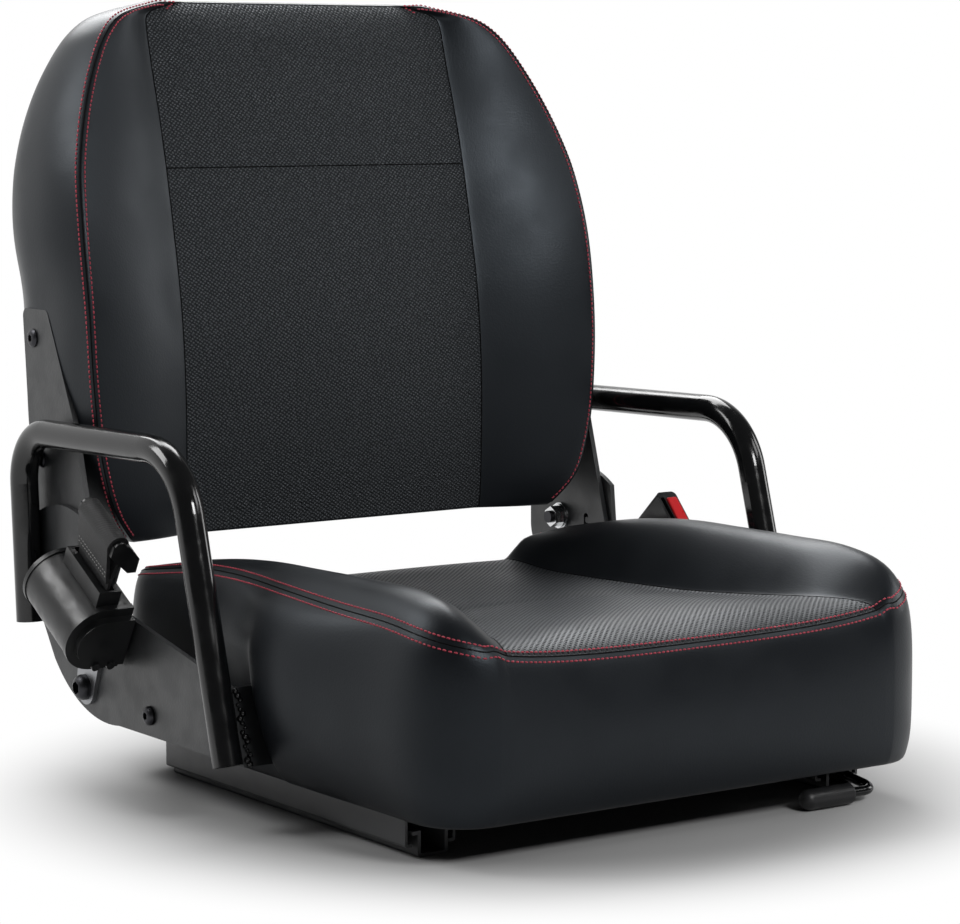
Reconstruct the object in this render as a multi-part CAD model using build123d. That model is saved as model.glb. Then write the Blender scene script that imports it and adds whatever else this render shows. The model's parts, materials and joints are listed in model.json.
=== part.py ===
"""Upholstered tractor seat on slide rails, with hip-restraint tubes and a lap belt.

Millimetres. +Z is up, the sitter faces -Y, and the sitter's left is +X. The origin is the centre
of the rail bolt pattern, on the underside of the lower rails.
"""

import os
from math import cos, radians, sin

from build123d import *

# Slide rails
RAIL_X = 177.0
LOWER_RAIL_LENGTH = 322.0
UPPER_RAIL_LENGTH = 316.0
LOWER_HALF = 12.0
LOWER_LIP = 16.0
LOWER_TOP = 18.0
UPPER_HALF = 20.0
UPPER_FOOT = 14.5
UPPER_FOOT_Z = 7.0
UPPER_TOP = 27.0
RAIL_SHEET = 2.5
FOOT_SHEET = 2.0
RUN_GAP = 0.3
MOUNT_HOLE_Y = 135.0
MOUNT_HOLE_D = 9.0
SHOE_Y = 76.0
SHOE_LENGTH = 36.0
NOTCH_PITCH = 12.5
NOTCH_WIDTH = 6.0
NOTCH_COUNT = 10
FIRST_NOTCH = -75.0
NOTCH_LAND = 0.6
RIVET_Y = 146.0
RIVET_Z = 18.0

# Slide lever
ROD_D = 7.0
ROD_X = 174.5
ROD_Z = 13.0
ROD_REAR_Y = -4.0
DROP_Y = -166.0
BEND_Y = -203.0
ROD_BEND_RS = [30.0, 12.0]
GRIP_Z = 8.0
GRIP_D = 15.0
GRIP_OUTER_X = 150.0
GRIP_INNER_X = 105.0
GRIP_CLOSED_END = 10.0
CATCH_SHEET = 2.0
CATCH_LIFT = 1.5
TOOTH_WIDTH = 4.0
SPRING_SHEET = 0.6
SPRING_LENGTH = 40.0
SPRING_WIDTH = 6.0
CATCH_Y = -30.0
CATCH_WIDTH = 30.0
HANGER_YS = (-122.0, -9.0)
HANGER_SHEET = 4.0
HANGER_EDGE = 2.5

# Seat pan and cross-members
PAN_X = 198.0
PAN_FRONT_Y = -203.0
PAN_REAR_Y = 196.0
PAN_TOP = 49.5
PAN_RIM_Z = 32.0
PAN_SHEET = 2.5
PAN_CORNER_R = 30.0
CROSS_YS = (10.0, 104.0)
CROSS_WIDTH = 40.0
CROSS_BOTTOM = 43.0
CROSS_SHEET = 4.0
CROSS_FLANGE_X = 150.0
CROSS_FLANGE_DROP = 12.0
TAB_TOP = 78.0
TAB_R = 10.0

# Side plates and hip-restraint tubes
PLATE_OUTER_X = 240.0
PLATE_SHEET = 4.0
PLATE_BOTTOM = 43.0
PLATE_BOLT_Z = 58.0
FLANGE_INNER_X = 216.0
TUBE_R = 10.5
TUBE_WALL = 2.0
TUBE_SINK = 0.5
LEG_FOOT = (-21.0, 44.0)
FRONT_CORNER = (39.5, 253.0)
REAR_CORNER = (277.0, 248.0)
REAR_END = (268.0, 105.0)
FRONT_BEND_R = 58.0
REAR_BEND_R = 38.0

# Backrest
PIVOT_Y = 250.0
PIVOT_Z = 150.0
PIVOT_D = 10.0
SLOT_Y = 216.0
SLOT_LENGTH = 11.4
PIVOT_WASHER_R = 11.0
PIVOT_FLANGE_R = 10.0
PIVOT_FLATS = 15.0
PIVOT_NUT = 7.0
PIVOT_SHEET = 2.0
LUG_D = 5.0
BRACKET_SHEET = 4.0
BRACKET_TOP = 338.0
BRACKET_OUTER_X = PLATE_OUTER_X - PLATE_SHEET - RUN_GAP
BRACKET_INNER_X = BRACKET_OUTER_X - BRACKET_SHEET
BRACKET_BOLTS = ((284.0, 316.0), (274.0, 226.0))
BACKREST_REAR_R = 16.0
BACK_INSERT_HALF = 136.0
BACK_INSERT_SHARE = 0.86
# Share of a bolster's width, and how far it has come forward there from the insert to the edge seam
BACK_BOLSTER = ((0.25, 0.35), (0.5, 0.66), (0.75, 0.87))
# Level, front seam half-width and depth, insert depth, rear half-width and depth
BACKREST_SECTIONS = (
    (166.0, 192.0, 213.0, 232.0, 194.0, 300.0),
    (180.0, 207.0, 204.0, 231.0, 210.0, 318.0),
    (215.0, 221.0, 200.0, 230.0, 225.0, 329.0),
    (280.0, 230.0, 200.0, 230.0, 231.0, 335.0),
    (345.0, 231.3, 204.0, 236.0, 231.5, 340.0),
    (400.0, 230.0, 214.0, 247.0, 237.0, 342.0),
    (446.0, 224.0, 228.0, 257.0, 233.0, 342.0),
    (490.0, 210.0, 244.0, 269.0, 221.0, 340.0),
    (525.0, 193.0, 258.0, 280.0, 204.0, 336.0),
    (548.0, 176.0, 268.0, 286.0, 187.0, 330.0),
    (562.0, 150.0, 280.0, 291.0, 160.0, 321.0),
    (567.0, 120.0, 291.0, 296.0, 126.0, 312.0),
)

# Seat cushion
CUSHION_HALF = 213.5
CUSHION_FRONT_Y = -227.0
CUSHION_REAR_Y = 215.0
CUSHION_BOTTOM = 28.0
CUSHION_CORNER_R = 44.0
SEAT_INSERT_HALF = 140.0
INSERT_FRONT_HALF = 160.0
INSERT_FLARE_Y = -150.0
INSERT_FLARE = 62.0
EDGE_ROLL = 8.0
EDGE_DROP = 9.0
# Share of a bolster's width from the insert to its crest or on to the edge seam, with its share of the height
INNER_BOLSTER = ((0.28, 0.66), (0.6, 1.0))
OUTER_BOLSTER = ((0.86, 0.5),)
NUT_POCKET_R = 9.0
NUT_POCKET = 12.0
# Station along the seat, then heights of the insert's middle and seam, the bolster's crest and the edge seam
CUSHION_STATIONS = (
    (-236.0, 113.0, 114.0, 120.0, 118.0),
    (-219.0, 134.0, 139.0, 146.0, 146.0),
    (-197.0, 143.0, 145.0, 168.0, 152.5),
    (-165.0, 144.0, 143.0, 178.0, 157.0),
    (-100.0, 138.0, 136.0, 180.0, 161.0),
    (-30.0, 132.0, 130.0, 179.0, 164.0),
    (30.0, 129.0, 127.0, 177.0, 166.0),
    (90.0, 127.0, 125.0, 169.0, 163.0),
    (145.0, 126.0, 124.0, 159.0, 157.0),
    (200.0, 128.0, 127.0, 147.0, 146.0),
    (222.0, 123.0, 122.0, 136.0, 134.0),
)

# Lap belt retractor: its spool axis runs forward and down beside the right side plate
SPOOL_TILT = 30.0
RETRACTOR_CENTRE = (-264.0, 166.0, 130.0)
COVER_R = 26.0
COVER_LENGTH = 66.0
COVER_WALL = 2.0
COVER_BACK_X = -243.0
FRAME_SHEET = 3.0
RETRACTOR_BOLT = (196.0, 65.0)
MOUTH_LENGTH = 56.0
MOUTH_DEPTH = 18.0
MOUTH_RISE = 12.0
MOUTH_SHIFT = 4.0
MOUTH_WALL = 5.0
BELT_OFFSET = -2.0
CAP_SPIGOT = 3.0
CAP_RIM = 0.8
CAP_NOSE_STEP = 6.0
CAP_PEGS = ((2.0, -19.0), (-10.0, -19.0))
CAP_PEG_R = 3.2
FRAME_END_GAP = 4.0
FRAME_HALF_HEIGHT = 22.0
TAB_END_R = 13.0
TAB_ROOT_R = 17.0
TAB_ROOT = (185.0, 105.5)
AXLE_R = 5.0
SPOOL_R = 19.0
BELT_WIDTH = 48.0
BELT_SHEET = 2.4
LOOP_RISE = 75.0
LOOP_SHIFT = 4.0
LOOP_R = 6.0
BELT_SEWN = 44.0
BAR_R = 5.5

# Buckle: its axis points forward and up between the cushion and the left side plate
BUCKLE_PITCH = 42.8
BUCKLE_X = 224.5
BUCKLE_THICK = 19.0
BUCKLE_WIDTH = 38.0
BUCKLE_LENGTH = 60.0
BUCKLE_ANCHOR = (167.0, 100.0)
BUCKLE_REACH = 105.0
BUTTON_X = 227.3
BUTTON_THICK = 10.0
BUTTON_WIDTH = 26.0
BUTTON_TRAVEL = 4.0
BUTTON_PROUD = 1.5
STALK_SHEET = 3.0
STALK_WIDTH = 22.0
STALK_X = 230.5
STALK_ROOT = 14.0
SLEEVE_THICK = 7.0
SLEEVE_WIDTH = 27.0
BUTTON_WELL = 16.0
SLIT_INSET = 4.0
SLIT_WIDTH = 3.6
SLIT_DEPTH = 34.0
ANCHOR_D = 10.0
BUSH_R = 9.0

# Fasteners; a button-head screw is its shank radius, head radius, head height and socket radius
M8_D = 8.0
M8_CLEAR_R = 4.3
M8_FLATS = 13.0
M8_NUT = 6.5
M8_HEAD = 5.0
M10_FLATS = 16.0
BELT_NUT = 7.0
SPACER_R = 10.0
BRACKET_BOLT_LENGTH = 24.0
PLATE_SCREW = (4.0, 7.0, 4.4, 2.9)
BRACKET_SCREW = (4.0, 7.0, 3.0, 2.9)
PIVOT_SCREW = (5.0, 9.0, 5.5, 3.6)
BELT_SCREW = (5.5, 9.5, 8.0, 5.0)
RIVET = (2.5, 4.5, 2.2, 1.2)

# Tongue
TONGUE_X = -15.5
TONGUE_SHEET = 2.5
TONGUE_WIDTH = 24.0
TONGUE_LOW = 28.0
TONGUE_TOP = 63.0
BRIDGE_LOW = 54.0
BRIDGE_HIGH = 66.0
BRIDGE_WALL = 2.2
TONGUE_ARM = 4.0

BEHIND = 400.0


def group(pieces):
    """Separate solids that share one node."""
    return Compound(children=list(pieces))


def slab(outline, x_low, x_high):
    """A flat outline in the YZ plane, given a thickness along X."""
    return extrude(Plane.YZ.offset(x_low) * outline, x_high - x_low)


def bar_along_y(outline, y_low, y_high):
    """A flat outline in the XZ plane, drawn out along Y."""
    return extrude(Plane.XZ.offset(-y_high) * outline, y_high - y_low)


def rod(centre, axis, radius, length):
    """A cylinder that starts at a point and runs along an axis."""
    return extrude(Plane(centre, z_dir=axis) * Circle(radius), length)


def block(low, high):
    """A box between two corners."""
    size = [b - a for a, b in zip(low, high)]
    middle = [(a + b) / 2 for a, b in zip(low, high)]
    return Pos(*middle) * Box(*size)


def mirrored_outline(half):
    """A closed face from the right half of an outline that is symmetric about its Y axis."""
    points = list(half) + [(-x, y) for x, y in reversed(half) if x > 0]
    return make_face(Polyline(*points, close=True))


def hex_piece(centre, axis, across_flats, height):
    """A hexagonal head or nut that starts at a point and runs along an axis."""
    outline = RegularPolygon(across_flats / 2, 6, major_radius=False)
    return extrude(Plane(centre, z_dir=axis) * outline, height)


def button_bolt(face, axis, screw, shank_length):
    """A button-head screw: a domed head outside a face, a hex socket, and a shank behind the face."""
    shank_r, head_r, head_height, socket_r = screw
    frame = Plane(face, z_dir=axis)
    rim = head_height * 0.35
    profile = make_face(
        Line((0, -shank_length), (shank_r, -shank_length))
        + Line((shank_r, -shank_length), (shank_r, 0))
        + Line((shank_r, 0), (head_r, 0))
        + Line((head_r, 0), (head_r, rim))
        + ThreePointArc((head_r, rim), (head_r * 0.78, head_height * 0.82), (head_r * 0.45, head_height))
        + Line((head_r * 0.45, head_height), (0, head_height))
        + Line((0, head_height), (0, -shank_length))
    )
    body = revolve(Plane.XZ * profile, Axis.Z)
    socket = extrude(Plane.XY.offset(head_height) * RegularPolygon(socket_r, 6), -head_height * 0.55)
    return frame.location * (body - socket)


def lower_rail_half():
    """Right half of the lower rail's section, a channel with outward lips."""
    return [
        (0, 0),
        (LOWER_HALF, 0),
        (LOWER_HALF, LOWER_TOP - RAIL_SHEET),
        (LOWER_LIP, LOWER_TOP - RAIL_SHEET),
        (LOWER_LIP, LOWER_TOP),
        (LOWER_HALF - RAIL_SHEET, LOWER_TOP),
        (LOWER_HALF - RAIL_SHEET, RAIL_SHEET),
        (0, RAIL_SHEET),
    ]


def lower_rail(with_notches):
    """Lower rail on the left, with bolt holes in its floor and lock notches in its inner lip."""
    half = LOWER_RAIL_LENGTH / 2
    section = mirrored_outline(lower_rail_half())
    bends = section.vertices().filter_by(lambda v: abs(v.X) == LOWER_HALF and v.Y == 0)
    section = fillet(bends, RAIL_SHEET)
    rail = Pos(RAIL_X, 0, 0) * bar_along_y(section, -half, half)
    for y in (-MOUNT_HOLE_Y, MOUNT_HOLE_Y):
        rail -= rod((RAIL_X, y, -1), (0, 0, 1), MOUNT_HOLE_D / 2, RAIL_SHEET + 2)
    if with_notches:
        first = CATCH_Y + FIRST_NOTCH
        for index in range(NOTCH_COUNT):
            y = first + index * NOTCH_PITCH
            rail -= block(
                (RAIL_X - LOWER_LIP - 1, y - NOTCH_WIDTH / 2, LOWER_TOP - RAIL_SHEET - 1),
                (RAIL_X - LOWER_HALF - NOTCH_LAND, y + NOTCH_WIDTH / 2, LOWER_TOP + 1),
            )
    return rail


def upper_rail():
    """Upper rail on the left, an inverted channel whose feet hook under the lower lips."""
    half = UPPER_RAIL_LENGTH / 2
    inside = UPPER_HALF - FOOT_SHEET
    section = mirrored_outline(
        [
            (0, UPPER_TOP),
            (UPPER_HALF, UPPER_TOP),
            (UPPER_HALF, UPPER_FOOT_Z),
            (UPPER_FOOT, UPPER_FOOT_Z),
            (UPPER_FOOT, UPPER_FOOT_Z + FOOT_SHEET),
            (inside, UPPER_FOOT_Z + FOOT_SHEET),
            (inside, UPPER_TOP - RAIL_SHEET),
            (0, UPPER_TOP - RAIL_SHEET),
        ]
    )
    shoulders = section.vertices().filter_by(lambda v: abs(v.X) == UPPER_HALF)
    section = fillet(shoulders, FOOT_SHEET)
    rail = Pos(RAIL_X, 0, 0) * bar_along_y(section, -half, half)
    for y in CROSS_YS:
        rail -= rod((RAIL_X, y, UPPER_TOP - RAIL_SHEET - 1), (0, 0, 1), M8_CLEAR_R, RAIL_SHEET + 2)
    for y in (-RIVET_Y, RIVET_Y):
        rail -= rod((RAIL_X - UPPER_HALF - 1, y, RIVET_Z), (1, 0, 0), RIVET[0], FOOT_SHEET + 2)
    return rail


def rail_rivets():
    """Plated rivets through the upper rails' inner skirts, one near each end."""
    pieces = []
    for side in (-1, 1):
        for y in (-RIVET_Y, RIVET_Y):
            face = (side * (RAIL_X - UPPER_HALF), y, RIVET_Z)
            pieces.append(button_bolt(face, (-side, 0, 0), RIVET, FOOT_SHEET))
    return group(pieces)


def glide_shoes():
    """C-shaped nylon shoes, held in the upper rails, that wrap the lower rails' lips."""
    gap = RUN_GAP
    inside = UPPER_HALF - FOOT_SHEET
    profile = make_face(
        Polyline(
            (LOWER_HALF - RAIL_SHEET + gap, LOWER_TOP + gap),
            (LOWER_HALF - RAIL_SHEET + gap, UPPER_TOP - RAIL_SHEET),
            (inside, UPPER_TOP - RAIL_SHEET),
            (inside, UPPER_FOOT_Z + FOOT_SHEET),
            (LOWER_HALF + 0.5, UPPER_FOOT_Z + FOOT_SHEET),
            (LOWER_HALF + 0.5, LOWER_TOP - RAIL_SHEET - gap),
            (LOWER_LIP + gap, LOWER_TOP - RAIL_SHEET - gap),
            (LOWER_LIP + gap, LOWER_TOP + gap),
            close=True,
        )
    )
    shoe = bar_along_y(profile, -SHOE_LENGTH / 2, SHOE_LENGTH / 2)
    pieces = []
    for x in (-RAIL_X, RAIL_X):
        for y in (-SHOE_Y, SHOE_Y):
            pieces.append(Pos(x, y, 0) * shoe)
            pieces.append(Pos(x, y, 0) * mirror(shoe, about=Plane.YZ))
    return group(pieces)


def lever_rod():
    """Bent rod: along the left rail, down a little in front of it, then inward under the cushion."""
    path = FilletPolyline(
        (ROD_X, ROD_REAR_Y, ROD_Z),
        (ROD_X, DROP_Y, ROD_Z),
        (ROD_X, BEND_Y, GRIP_Z),
        (GRIP_INNER_X + GRIP_CLOSED_END, BEND_Y, GRIP_Z),
        radius=ROD_BEND_RS,
    )
    return sweep(Plane(path @ 0, z_dir=path % 0) * Circle(ROD_D / 2), path=path)


def lever_grip(bent_rod):
    """Rubber grip with a rounded free end, pushed over the rod."""
    length = GRIP_OUTER_X - GRIP_INNER_X
    grip = rod((GRIP_OUTER_X, BEND_Y, GRIP_Z), (-1, 0, 0), GRIP_D / 2, length)
    free_end = grip.edges().filter_by(GeomType.CIRCLE).sort_by(Axis.X)[0]
    grip = fillet(free_end, GRIP_D / 2 - 0.4)
    collar = grip.edges().filter_by(GeomType.CIRCLE).sort_by(Axis.X)[-1]
    return fillet(collar, 1.5) - bent_rod


def lock_catch():
    """Catch fixed on the rod, with teeth over the notches in the lower rail's inner lip."""
    y_low = CATCH_Y - CATCH_WIDTH / 2
    y_high = CATCH_Y + CATCH_WIDTH / 2
    arm_low = LOWER_TOP + CATCH_LIFT
    arm_high = arm_low + CATCH_SHEET
    hub = rod((ROD_X, y_low, ROD_Z), (0, 1, 0), ROD_D / 2 + CATCH_SHEET, CATCH_WIDTH)
    web = block((ROD_X - 2 * CATCH_SHEET, y_low, ROD_Z), (ROD_X, y_high, arm_high))
    arm = block((RAIL_X - LOWER_LIP + 0.5, y_low, arm_low), (ROD_X, y_high, arm_high))
    catch = hub + web + arm
    for index in (-1, 0, 1):
        y = CATCH_Y + index * NOTCH_PITCH
        catch += block(
            (RAIL_X - LOWER_LIP + 0.5, y - TOOTH_WIDTH / 2, LOWER_TOP + RUN_GAP),
            (RAIL_X - LOWER_HALF - 2 * NOTCH_LAND, y + TOOTH_WIDTH / 2, arm_low),
        )
    return catch - rod((ROD_X, y_low - 1, ROD_Z), (0, 1, 0), ROD_D / 2, CATCH_WIDTH + 2)


def lever_hangers():
    """Two bearing plates that hang from the upper rail's roof and carry the lever rod."""
    pieces = []
    clear_x = LOWER_HALF - RAIL_SHEET - RUN_GAP
    half = HANGER_SHEET / 2
    bore_r = ROD_D / 2 + RUN_GAP
    low = ROD_Z - bore_r - HANGER_EDGE
    for y in HANGER_YS:
        plate = block((RAIL_X - clear_x, y - half, low), (RAIL_X + clear_x, y + half, UPPER_TOP - RAIL_SHEET))
        pieces.append(plate - rod((ROD_X, y - HANGER_SHEET, ROD_Z), (0, 1, 0), bore_r, 2 * HANGER_SHEET))
    return group(pieces)


def lever_spring():
    """Flat return spring under the upper rail's roof, stepped down over the lock catch."""
    roof = UPPER_TOP - RAIL_SHEET
    rear = CATCH_Y + CATCH_WIDTH / 2
    front = rear - SPRING_LENGTH
    foot = front + SPRING_LENGTH / 4
    step = foot + SPRING_LENGTH / 8
    upper = [(front, roof), (foot, roof), (step, roof - SPRING_SHEET), (rear, roof - SPRING_SHEET)]
    lower = [(y, z - SPRING_SHEET) for y, z in reversed(upper)]
    strip = make_face(Polyline(*upper, *lower, close=True))
    return slab(strip, ROD_X - SPRING_WIDTH - 2, ROD_X - 2)


def seat_pan():
    """Pressed pan under the cushion: flat top and turned-down rim, notched for the cross-members."""
    outer = block((-PAN_X, PAN_FRONT_Y, PAN_RIM_Z), (PAN_X, PAN_REAR_Y, PAN_TOP))
    outer = fillet(outer.edges().filter_by(Axis.Z), PAN_CORNER_R)
    inner = block(
        (-PAN_X + PAN_SHEET, PAN_FRONT_Y + PAN_SHEET, PAN_RIM_Z - 1),
        (PAN_X - PAN_SHEET, PAN_REAR_Y - PAN_SHEET, PAN_TOP - PAN_SHEET),
    )
    inner = fillet(inner.edges().filter_by(Axis.Z), PAN_CORNER_R - PAN_SHEET)
    pan = outer - inner
    for y in CROSS_YS:
        half = CROSS_WIDTH / 2 + 1
        pan -= block((-BEHIND, y - half, 0), (BEHIND, y + half, CROSS_BOTTOM + CROSS_SHEET))
        for x in (-RAIL_X, RAIL_X):
            pan -= rod((x, y, PAN_TOP - PAN_SHEET - 1), (0, 0, 1), M8_CLEAR_R, PAN_SHEET + 2)
    return pan


def cross_member(y):
    """Folded strap between the side plates: stiff flanges in the middle, bolt tabs at the ends."""
    end_x = PLATE_OUTER_X - PLATE_SHEET
    half = CROSS_WIDTH / 2
    strap = block((-end_x, y - half, CROSS_BOTTOM), (end_x, y + half, CROSS_BOTTOM + CROSS_SHEET))
    for side in (-1, 1):
        tab = block((0, y - half, CROSS_BOTTOM), (CROSS_SHEET, y + half, TAB_TOP))
        tab = fillet(tab.edges().filter_by(Axis.X).group_by(Axis.Z)[-1], TAB_R)
        strap += Pos(end_x - CROSS_SHEET if side > 0 else -end_x, 0, 0) * tab
        edge = y + side * (half - CROSS_SHEET / 2)
        strap += block(
            (-CROSS_FLANGE_X, edge - CROSS_SHEET / 2, CROSS_BOTTOM - CROSS_FLANGE_DROP),
            (CROSS_FLANGE_X, edge + CROSS_SHEET / 2, CROSS_BOTTOM),
        )
    for x in (-RAIL_X, RAIL_X):
        strap -= rod((x, y, CROSS_BOTTOM - 1), (0, 0, 1), M8_CLEAR_R, CROSS_SHEET + 2)
    strap -= rod((-BEHIND, y, PLATE_BOLT_Z), (1, 0, 0), M8_D / 2, 2 * BEHIND)
    return strap


def rail_fasteners():
    """Spacers, bolts and nuts that clamp each upper rail to the cross-members and the pan."""
    spacers = []
    bolts = []
    nuts = []
    roof = UPPER_TOP - RAIL_SHEET
    for x in (-RAIL_X, RAIL_X):
        for y in CROSS_YS:
            tube = rod((x, y, UPPER_TOP), (0, 0, 1), SPACER_R, CROSS_BOTTOM - UPPER_TOP)
            spacers.append(tube - rod((x, y, 0), (0, 0, 1), M8_CLEAR_R, PAN_TOP))
            shank = rod((x, y, roof), (0, 0, 1), M8_D / 2, PAN_TOP + M8_NUT + 2 - roof)
            bolts.append(hex_piece((x, y, roof - M8_HEAD), (0, 0, 1), M8_FLATS, M8_HEAD) + shank)
            nuts.append(hex_piece((x, y, PAN_TOP), (0, 0, 1), M8_FLATS, M8_NUT) - shank)
    return group(spacers), group(bolts), group(nuts)


def seat_insert_half(y):
    """Half-width of the seat's insert, which flares towards the front seam."""
    share = min(1.0, max(0.0, (INSERT_FLARE_Y - y) / INSERT_FLARE))
    return SEAT_INSERT_HALF + (INSERT_FRONT_HALF - SEAT_INSERT_HALF) * share**2


def cushion_top_outline(insert, middle, seam, crest, edge):
    """Cross-section of the cushion's top: a sunk insert between bolsters that roll over to the sides."""
    seam_x = CUSHION_HALF - EDGE_ROLL
    outside = CUSHION_HALF + EDGE_ROLL
    foot = edge - 4 * EDGE_DROP
    width = seam_x - insert
    bolster = [(insert, seam)]
    bolster += [(insert + share * width, seam + rise * (crest - seam)) for share, rise in INNER_BOLSTER]
    bolster += [(insert + share * width, edge + rise * (crest - edge)) for share, rise in OUTER_BOLSTER]
    bolster += [(seam_x, edge), (CUSHION_HALF, edge - EDGE_DROP), (outside, foot)]
    right = Spline(*bolster)
    left = Spline(*[(-x, z) for x, z in reversed(bolster)])
    centre = Spline((-insert, seam), (0, middle), (insert, seam))
    sides = Polyline((outside, foot), (outside, 0), (-outside, 0), (-outside, foot))
    return make_face(left + centre + right + sides)


def seat_cushion():
    """Upholstered cushion: insert, bolsters, and a hollow underside that fits over the pan."""
    sections = []
    for y, *heights in CUSHION_STATIONS:
        sections.append(Plane.XZ.offset(-y) * cushion_top_outline(seat_insert_half(y), *heights))
    top = loft(sections)
    plan = block((-CUSHION_HALF, CUSHION_FRONT_Y, CUSHION_BOTTOM), (CUSHION_HALF, CUSHION_REAR_Y, BEHIND))
    plan = fillet(plan.edges().filter_by(Axis.Z), CUSHION_CORNER_R)
    cushion = plan & top
    hollow = block((-PAN_X, PAN_FRONT_Y, 0), (PAN_X, PAN_REAR_Y, PAN_TOP))
    cushion -= fillet(hollow.edges().filter_by(Axis.Z), PAN_CORNER_R)
    for y in CROSS_YS:
        half = CROSS_WIDTH / 2 + 1
        cushion -= block((-BEHIND, y - half, 0), (BEHIND, y + half, CROSS_BOTTOM + CROSS_SHEET))
        for x in (-RAIL_X, RAIL_X):
            cushion -= rod((x, y, PAN_TOP - 1), (0, 0, 1), NUT_POCKET_R, NUT_POCKET)
    return cushion


def side_plate_outline():
    """Side plate in the YZ plane: a high rear lobe round the pivot, sloping to a low front arm."""
    return make_face(
        Line((-26, PLATE_BOTTOM), (150, PLATE_BOTTOM))
        + ThreePointArc((150, PLATE_BOTTOM), (205, 49), (249, 79))
        + Line((249, 79), (283, 128))
        + ThreePointArc((283, 128), (291, 156), (277, 184))
        + ThreePointArc((277, 184), (230, 195), (189, 181))
        + Line((189, 181), (186, 152))
        + ThreePointArc((186, 152), (178, 138), (160, 131))
        + Line((160, 131), (-8, 95))
        + Line((-8, 95), (-26, PLATE_BOTTOM))
    )


def side_plate(belt_holes):
    """Left side plate with its inward front flange and the lug that limits the backrest's tilt."""
    inner = PLATE_OUTER_X - PLATE_SHEET
    plate = slab(side_plate_outline(), inner, PLATE_OUTER_X)
    flange = make_face(Polyline((-26, PLATE_BOTTOM), (-22, PLATE_BOTTOM), (-4, 95), (-8, 95), close=True))
    plate += slab(flange, FLANGE_INNER_X, PLATE_OUTER_X)
    plate += rod((inner - BRACKET_SHEET + 0.5, SLOT_Y, PIVOT_Z), (1, 0, 0), LUG_D / 2, BRACKET_SHEET)
    holes = [(PIVOT_Y, PIVOT_Z, PIVOT_D / 2)] + [(y, PLATE_BOLT_Z, M8_D / 2) for y in CROSS_YS]
    for y, z, radius in holes + belt_holes:
        plate -= rod((0, y, z), (1, 0, 0), radius, BEHIND)
    return plate


def hip_tube():
    """Left hip-restraint tube, bent once in front and once behind, with flats where it is welded on."""
    centre_x = PLATE_OUTER_X + TUBE_R - TUBE_SINK
    corners = [(centre_x, y, z) for y, z in (LEG_FOOT, FRONT_CORNER, REAR_CORNER, REAR_END)]
    path = FilletPolyline(*corners, radius=[FRONT_BEND_R, REAR_BEND_R])
    start = Plane(path @ 0, z_dir=path % 0)
    ring = Circle(TUBE_R) - Circle(TUBE_R - TUBE_WALL)
    tube = sweep(start * ring, path=path)
    inside = PLATE_OUTER_X - 2 * TUBE_R
    tube -= block((inside, -100, 0), (PLATE_OUTER_X, 320, 200))
    return tube


def plate_bolts():
    """Button-head screws that hold the side plates to the cross-members' end tabs."""
    pieces = []
    for side in (-1, 1):
        for y in CROSS_YS:
            face = (side * PLATE_OUTER_X, y, PLATE_BOLT_Z)
            pieces.append(button_bolt(face, (side, 0, 0), PLATE_SCREW, PLATE_SHEET + CROSS_SHEET + M8_NUT))
    return group(pieces)


def plate_nuts():
    """Weld nuts behind the cross-members' end tabs."""
    pieces = []
    face = PLATE_OUTER_X - PLATE_SHEET - CROSS_SHEET
    for side in (-1, 1):
        for y in CROSS_YS:
            start = (side * face, y, PLATE_BOLT_Z)
            nut = hex_piece(start, (-side, 0, 0), M8_FLATS, M8_NUT)
            pieces.append(nut - rod(start, (-side, 0, 0), M8_D / 2, M8_NUT))
    return group(pieces)


def bracket_outline():
    """Backrest bracket in the YZ plane: broad at the pivot, narrowing up the backrest's side."""
    outline = make_face(
        Line((196, 128), (190, 148))
        + Line((190, 148), (222, 258))
        + Line((222, 258), (262, BRACKET_TOP))
        + Line((262, BRACKET_TOP), (301, BRACKET_TOP))
        + Line((301, BRACKET_TOP), (293, 250))
        + Line((293, 250), (293, 142))
        + ThreePointArc((293, 142), (283, 118), (258, 110))
        + Line((258, 110), (222, 110))
        + Line((222, 110), (196, 128))
    )
    top = outline.vertices().group_by(Axis.Y)[-1]
    return fillet(top, 6)


def backrest_bracket():
    """Left backrest bracket with its pivot hole, tilt slot and two bolt holes."""
    bracket = slab(bracket_outline(), BRACKET_INNER_X, BRACKET_OUTER_X)
    bracket -= rod((0, PIVOT_Y, PIVOT_Z), (1, 0, 0), PIVOT_D / 2 + RUN_GAP, BEHIND)
    slot = Pos(SLOT_Y, PIVOT_Z) * SlotOverall(SLOT_LENGTH, LUG_D + 1.0, rotation=90)
    bracket -= slab(slot, 0, BEHIND)
    for y, z in BRACKET_BOLTS:
        bracket -= rod((0, y, z), (1, 0, 0), M8_D / 2, BEHIND)
    return bracket


def bracket_bolts():
    """Button-head screws through the brackets into the backrest."""
    pieces = []
    for side in (-1, 1):
        for y, z in BRACKET_BOLTS:
            face = (side * BRACKET_OUTER_X, y, z)
            pieces.append(button_bolt(face, (side, 0, 0), BRACKET_SCREW, BRACKET_BOLT_LENGTH))
    return group(pieces)


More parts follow.
